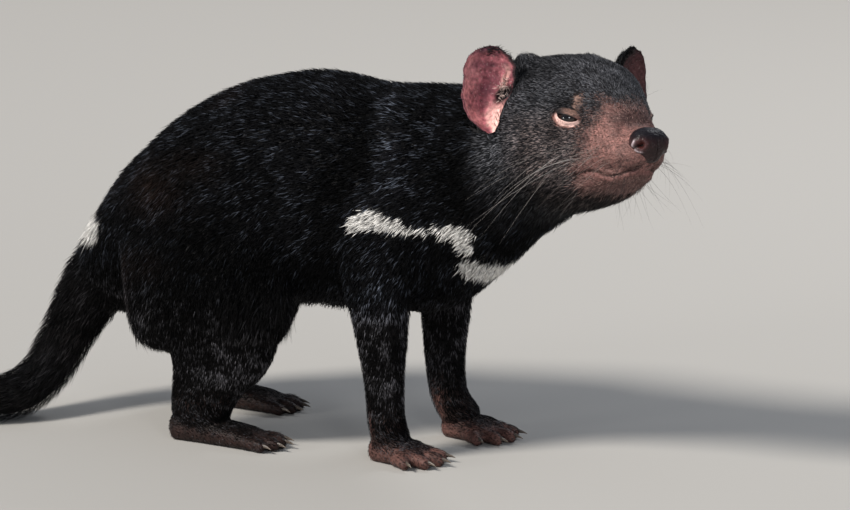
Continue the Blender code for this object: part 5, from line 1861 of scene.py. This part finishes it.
looks = {
    # mottle: how much the colour varies, and its size in mm; gloss: a clear layer's share, its roughness and
    # how strongly it bends light; bumps: texture, size and height in mm
    "fur": {"roughness": 0.50, "specular": 0.06, "mottle": (0.30, 5.0)},
    "skin": {
        "roughness": 0.55, "specular": 0.22, "mottle": (0.35, 1.6),
        "bumps": [("Voronoi", 1.3, 0.28), ("Noise", 0.7, 0.20)],
    },
    "ear skin": {
        "roughness": 0.60, "specular": 0.20, "mottle": (0.40, 2.4),
        "bumps": [("Noise", 1.5, 0.25), ("Voronoi", 2.2, 0.10)],
    },
    "nose skin": {
        "roughness": 0.55, "specular": 0.05, "mottle": (0.35, 1.2), "gloss": (0.45, 0.28),
        "bumps": [("Voronoi", 1.1, 0.22), ("Noise", 2.0, 0.4)],
    },
    "horn": {
        "roughness": 0.38, "specular": 0.40, "mottle": (0.45, 1.0), "gloss": (0.15, 0.25),
        "bumps": [("Noise", 0.8, 0.10)],
    },
    "eye": {"roughness": 0.20, "specular": 0.04, "mottle": (0.50, 0.6), "gloss": (0.9, 0.02, 1.6)},
    "bristle": {"roughness": 0.40, "specular": 0.4, "mottle": (0.20, 6.0)},
}


def makeLook(name):
    # the piece's own colour times a soft pattern, a roughness that goes with it, and fine relief
    setting = looks[name]
    look = bpy.data.materials.new(name)
    look.use_nodes = True
    tree = look.node_tree
    shader = tree.nodes["Principled BSDF"]
    shader.inputs["Specular IOR Level"].default_value = setting["specular"]
    for socket, value in zip(("Coat Weight", "Coat Roughness", "Coat IOR"), setting.get("gloss", (0.0, 0.1))):
        shader.inputs[socket].default_value = value
    where = tree.nodes.new("ShaderNodeTexCoord").outputs["Object"]

    def texture(kind, size):
        node = tree.nodes.new("ShaderNodeTex" + kind)
        node.inputs["Scale"].default_value = 1.0 / (size * mm)
        tree.links.new(where, node.inputs["Vector"])
        return node.outputs["Distance" if kind == "Voronoi" else "Fac"]

    def spread(value, low, high):
        node = tree.nodes.new("ShaderNodeMapRange")
        node.inputs["From Min"].default_value, node.inputs["From Max"].default_value = 0.3, 0.7
        node.inputs["To Min"].default_value, node.inputs["To Max"].default_value = low, high
        tree.links.new(value, node.inputs["Value"])
        return node.outputs["Result"]

    amount, size = setting["mottle"]
    pattern = texture("Noise", size)
    tone = tree.nodes.new("ShaderNodeAttribute")
    tone.attribute_name = "tone"
    scale = tree.nodes.new("ShaderNodeVectorMath")
    scale.operation = "SCALE"
    tree.links.new(tone.outputs["Color"], scale.inputs["Vector"])
    tree.links.new(spread(pattern, 1 - amount, 1 + amount), scale.inputs["Scale"])
    tree.links.new(scale.outputs["Vector"], shader.inputs["Base Color"])
    rough = setting["roughness"]
    tree.links.new(spread(pattern, rough * 1.15, rough * 0.85), shader.inputs["Roughness"])
    under = None
    for kind, size, height in setting.get("bumps", ()):
        relief = tree.nodes.new("ShaderNodeBump")
        relief.inputs["Distance"].default_value = height * mm
        tree.links.new(texture(kind, size), relief.inputs["Height"])
        if under:
            tree.links.new(under, relief.inputs["Normal"])
        under = relief.outputs["Normal"]
        tree.links.new(under, shader.inputs["Normal"])
        tree.links.new(under, shader.inputs["Coat Normal"])
    return look


def fit(piece, look, slot, *nodes):
    # gives a finished piece its material and its body, and hides the nodes that it stands for; the slot is
    # not used
    piece.data.materials.append(look)
    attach(piece, "root")
    if nodes:
        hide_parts(*nodes)


def sinkUnderLids(made):
    # lowers the skin beneath the lids' ring, so that only the ring shows there; gives how much of it is left
    points = pointsOf(made)
    local = toHead(points)
    shown = np.ones(len(points))
    for sign in (-1, 1):
        out, ahead, up = eyeAxes(sign)
        fromEye = local - eyeCentre(sign)
        across = np.hypot(fromEye @ ahead / eye["reach"][0], fromEye @ up / eye["reach"][1])
        near = ease(0.93, 0.80, across) * (fromEye @ out > -3)
        local = local - out * (3.4 * near)[:, None]
        shown = shown * (1 - ease(0.93, 0.88, across) * (fromEye @ out > -3))
    movePoints(made, fromHead(local))
    return shown


makeStage()
makeCamera()
print("stage, light and camera ready")
finishes = {name: makeLook(name) for name in looks}
hide = makeSkin()
hidePoints = pointsOf(hide)
surfaces, furPieces = [], []
for sign, word in ((-1, "right"), (1, "left")):
    lids, shown = makeLids(sign, word, hidePoints)
    fit(lids, finishes["skin"], "black_coat")
    surfaces.append((lids, shown))
    fit(makeEye(sign, word), finishes["eye"], "eye_surface", "eye_" + word)
    shell, values = makeEar(sign, word)
    fit(shell, finishes["ear skin"], "ear_skin", "ear_" + word)
    furPieces.append(earFur(shell, values, sign, word))
print("lids, eyes and ears made")
surfaces.append((hide, sinkUnderLids(hide)))
paint(hide, fleshColour(pointsOf(hide)))
fit(makeNose(), finishes["nose skin"], "nose_skin", "nose")
for piece, nodes in makeClaws():
    fit(piece, finishes["horn"], "claw_horn", *nodes)
fit(makeWhiskers(hide), finishes["bristle"], "black_coat")
print("nose, claws and whiskers made")
fleshNodes = [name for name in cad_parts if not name.startswith(("eye", "claw", "ear", "nose"))]
fit(hide, finishes["skin"], "black_coat", *fleshNodes)
for piece in furPieces + makeCoat(surfaces):
    fit(piece, finishes["fur"], "black_coat")
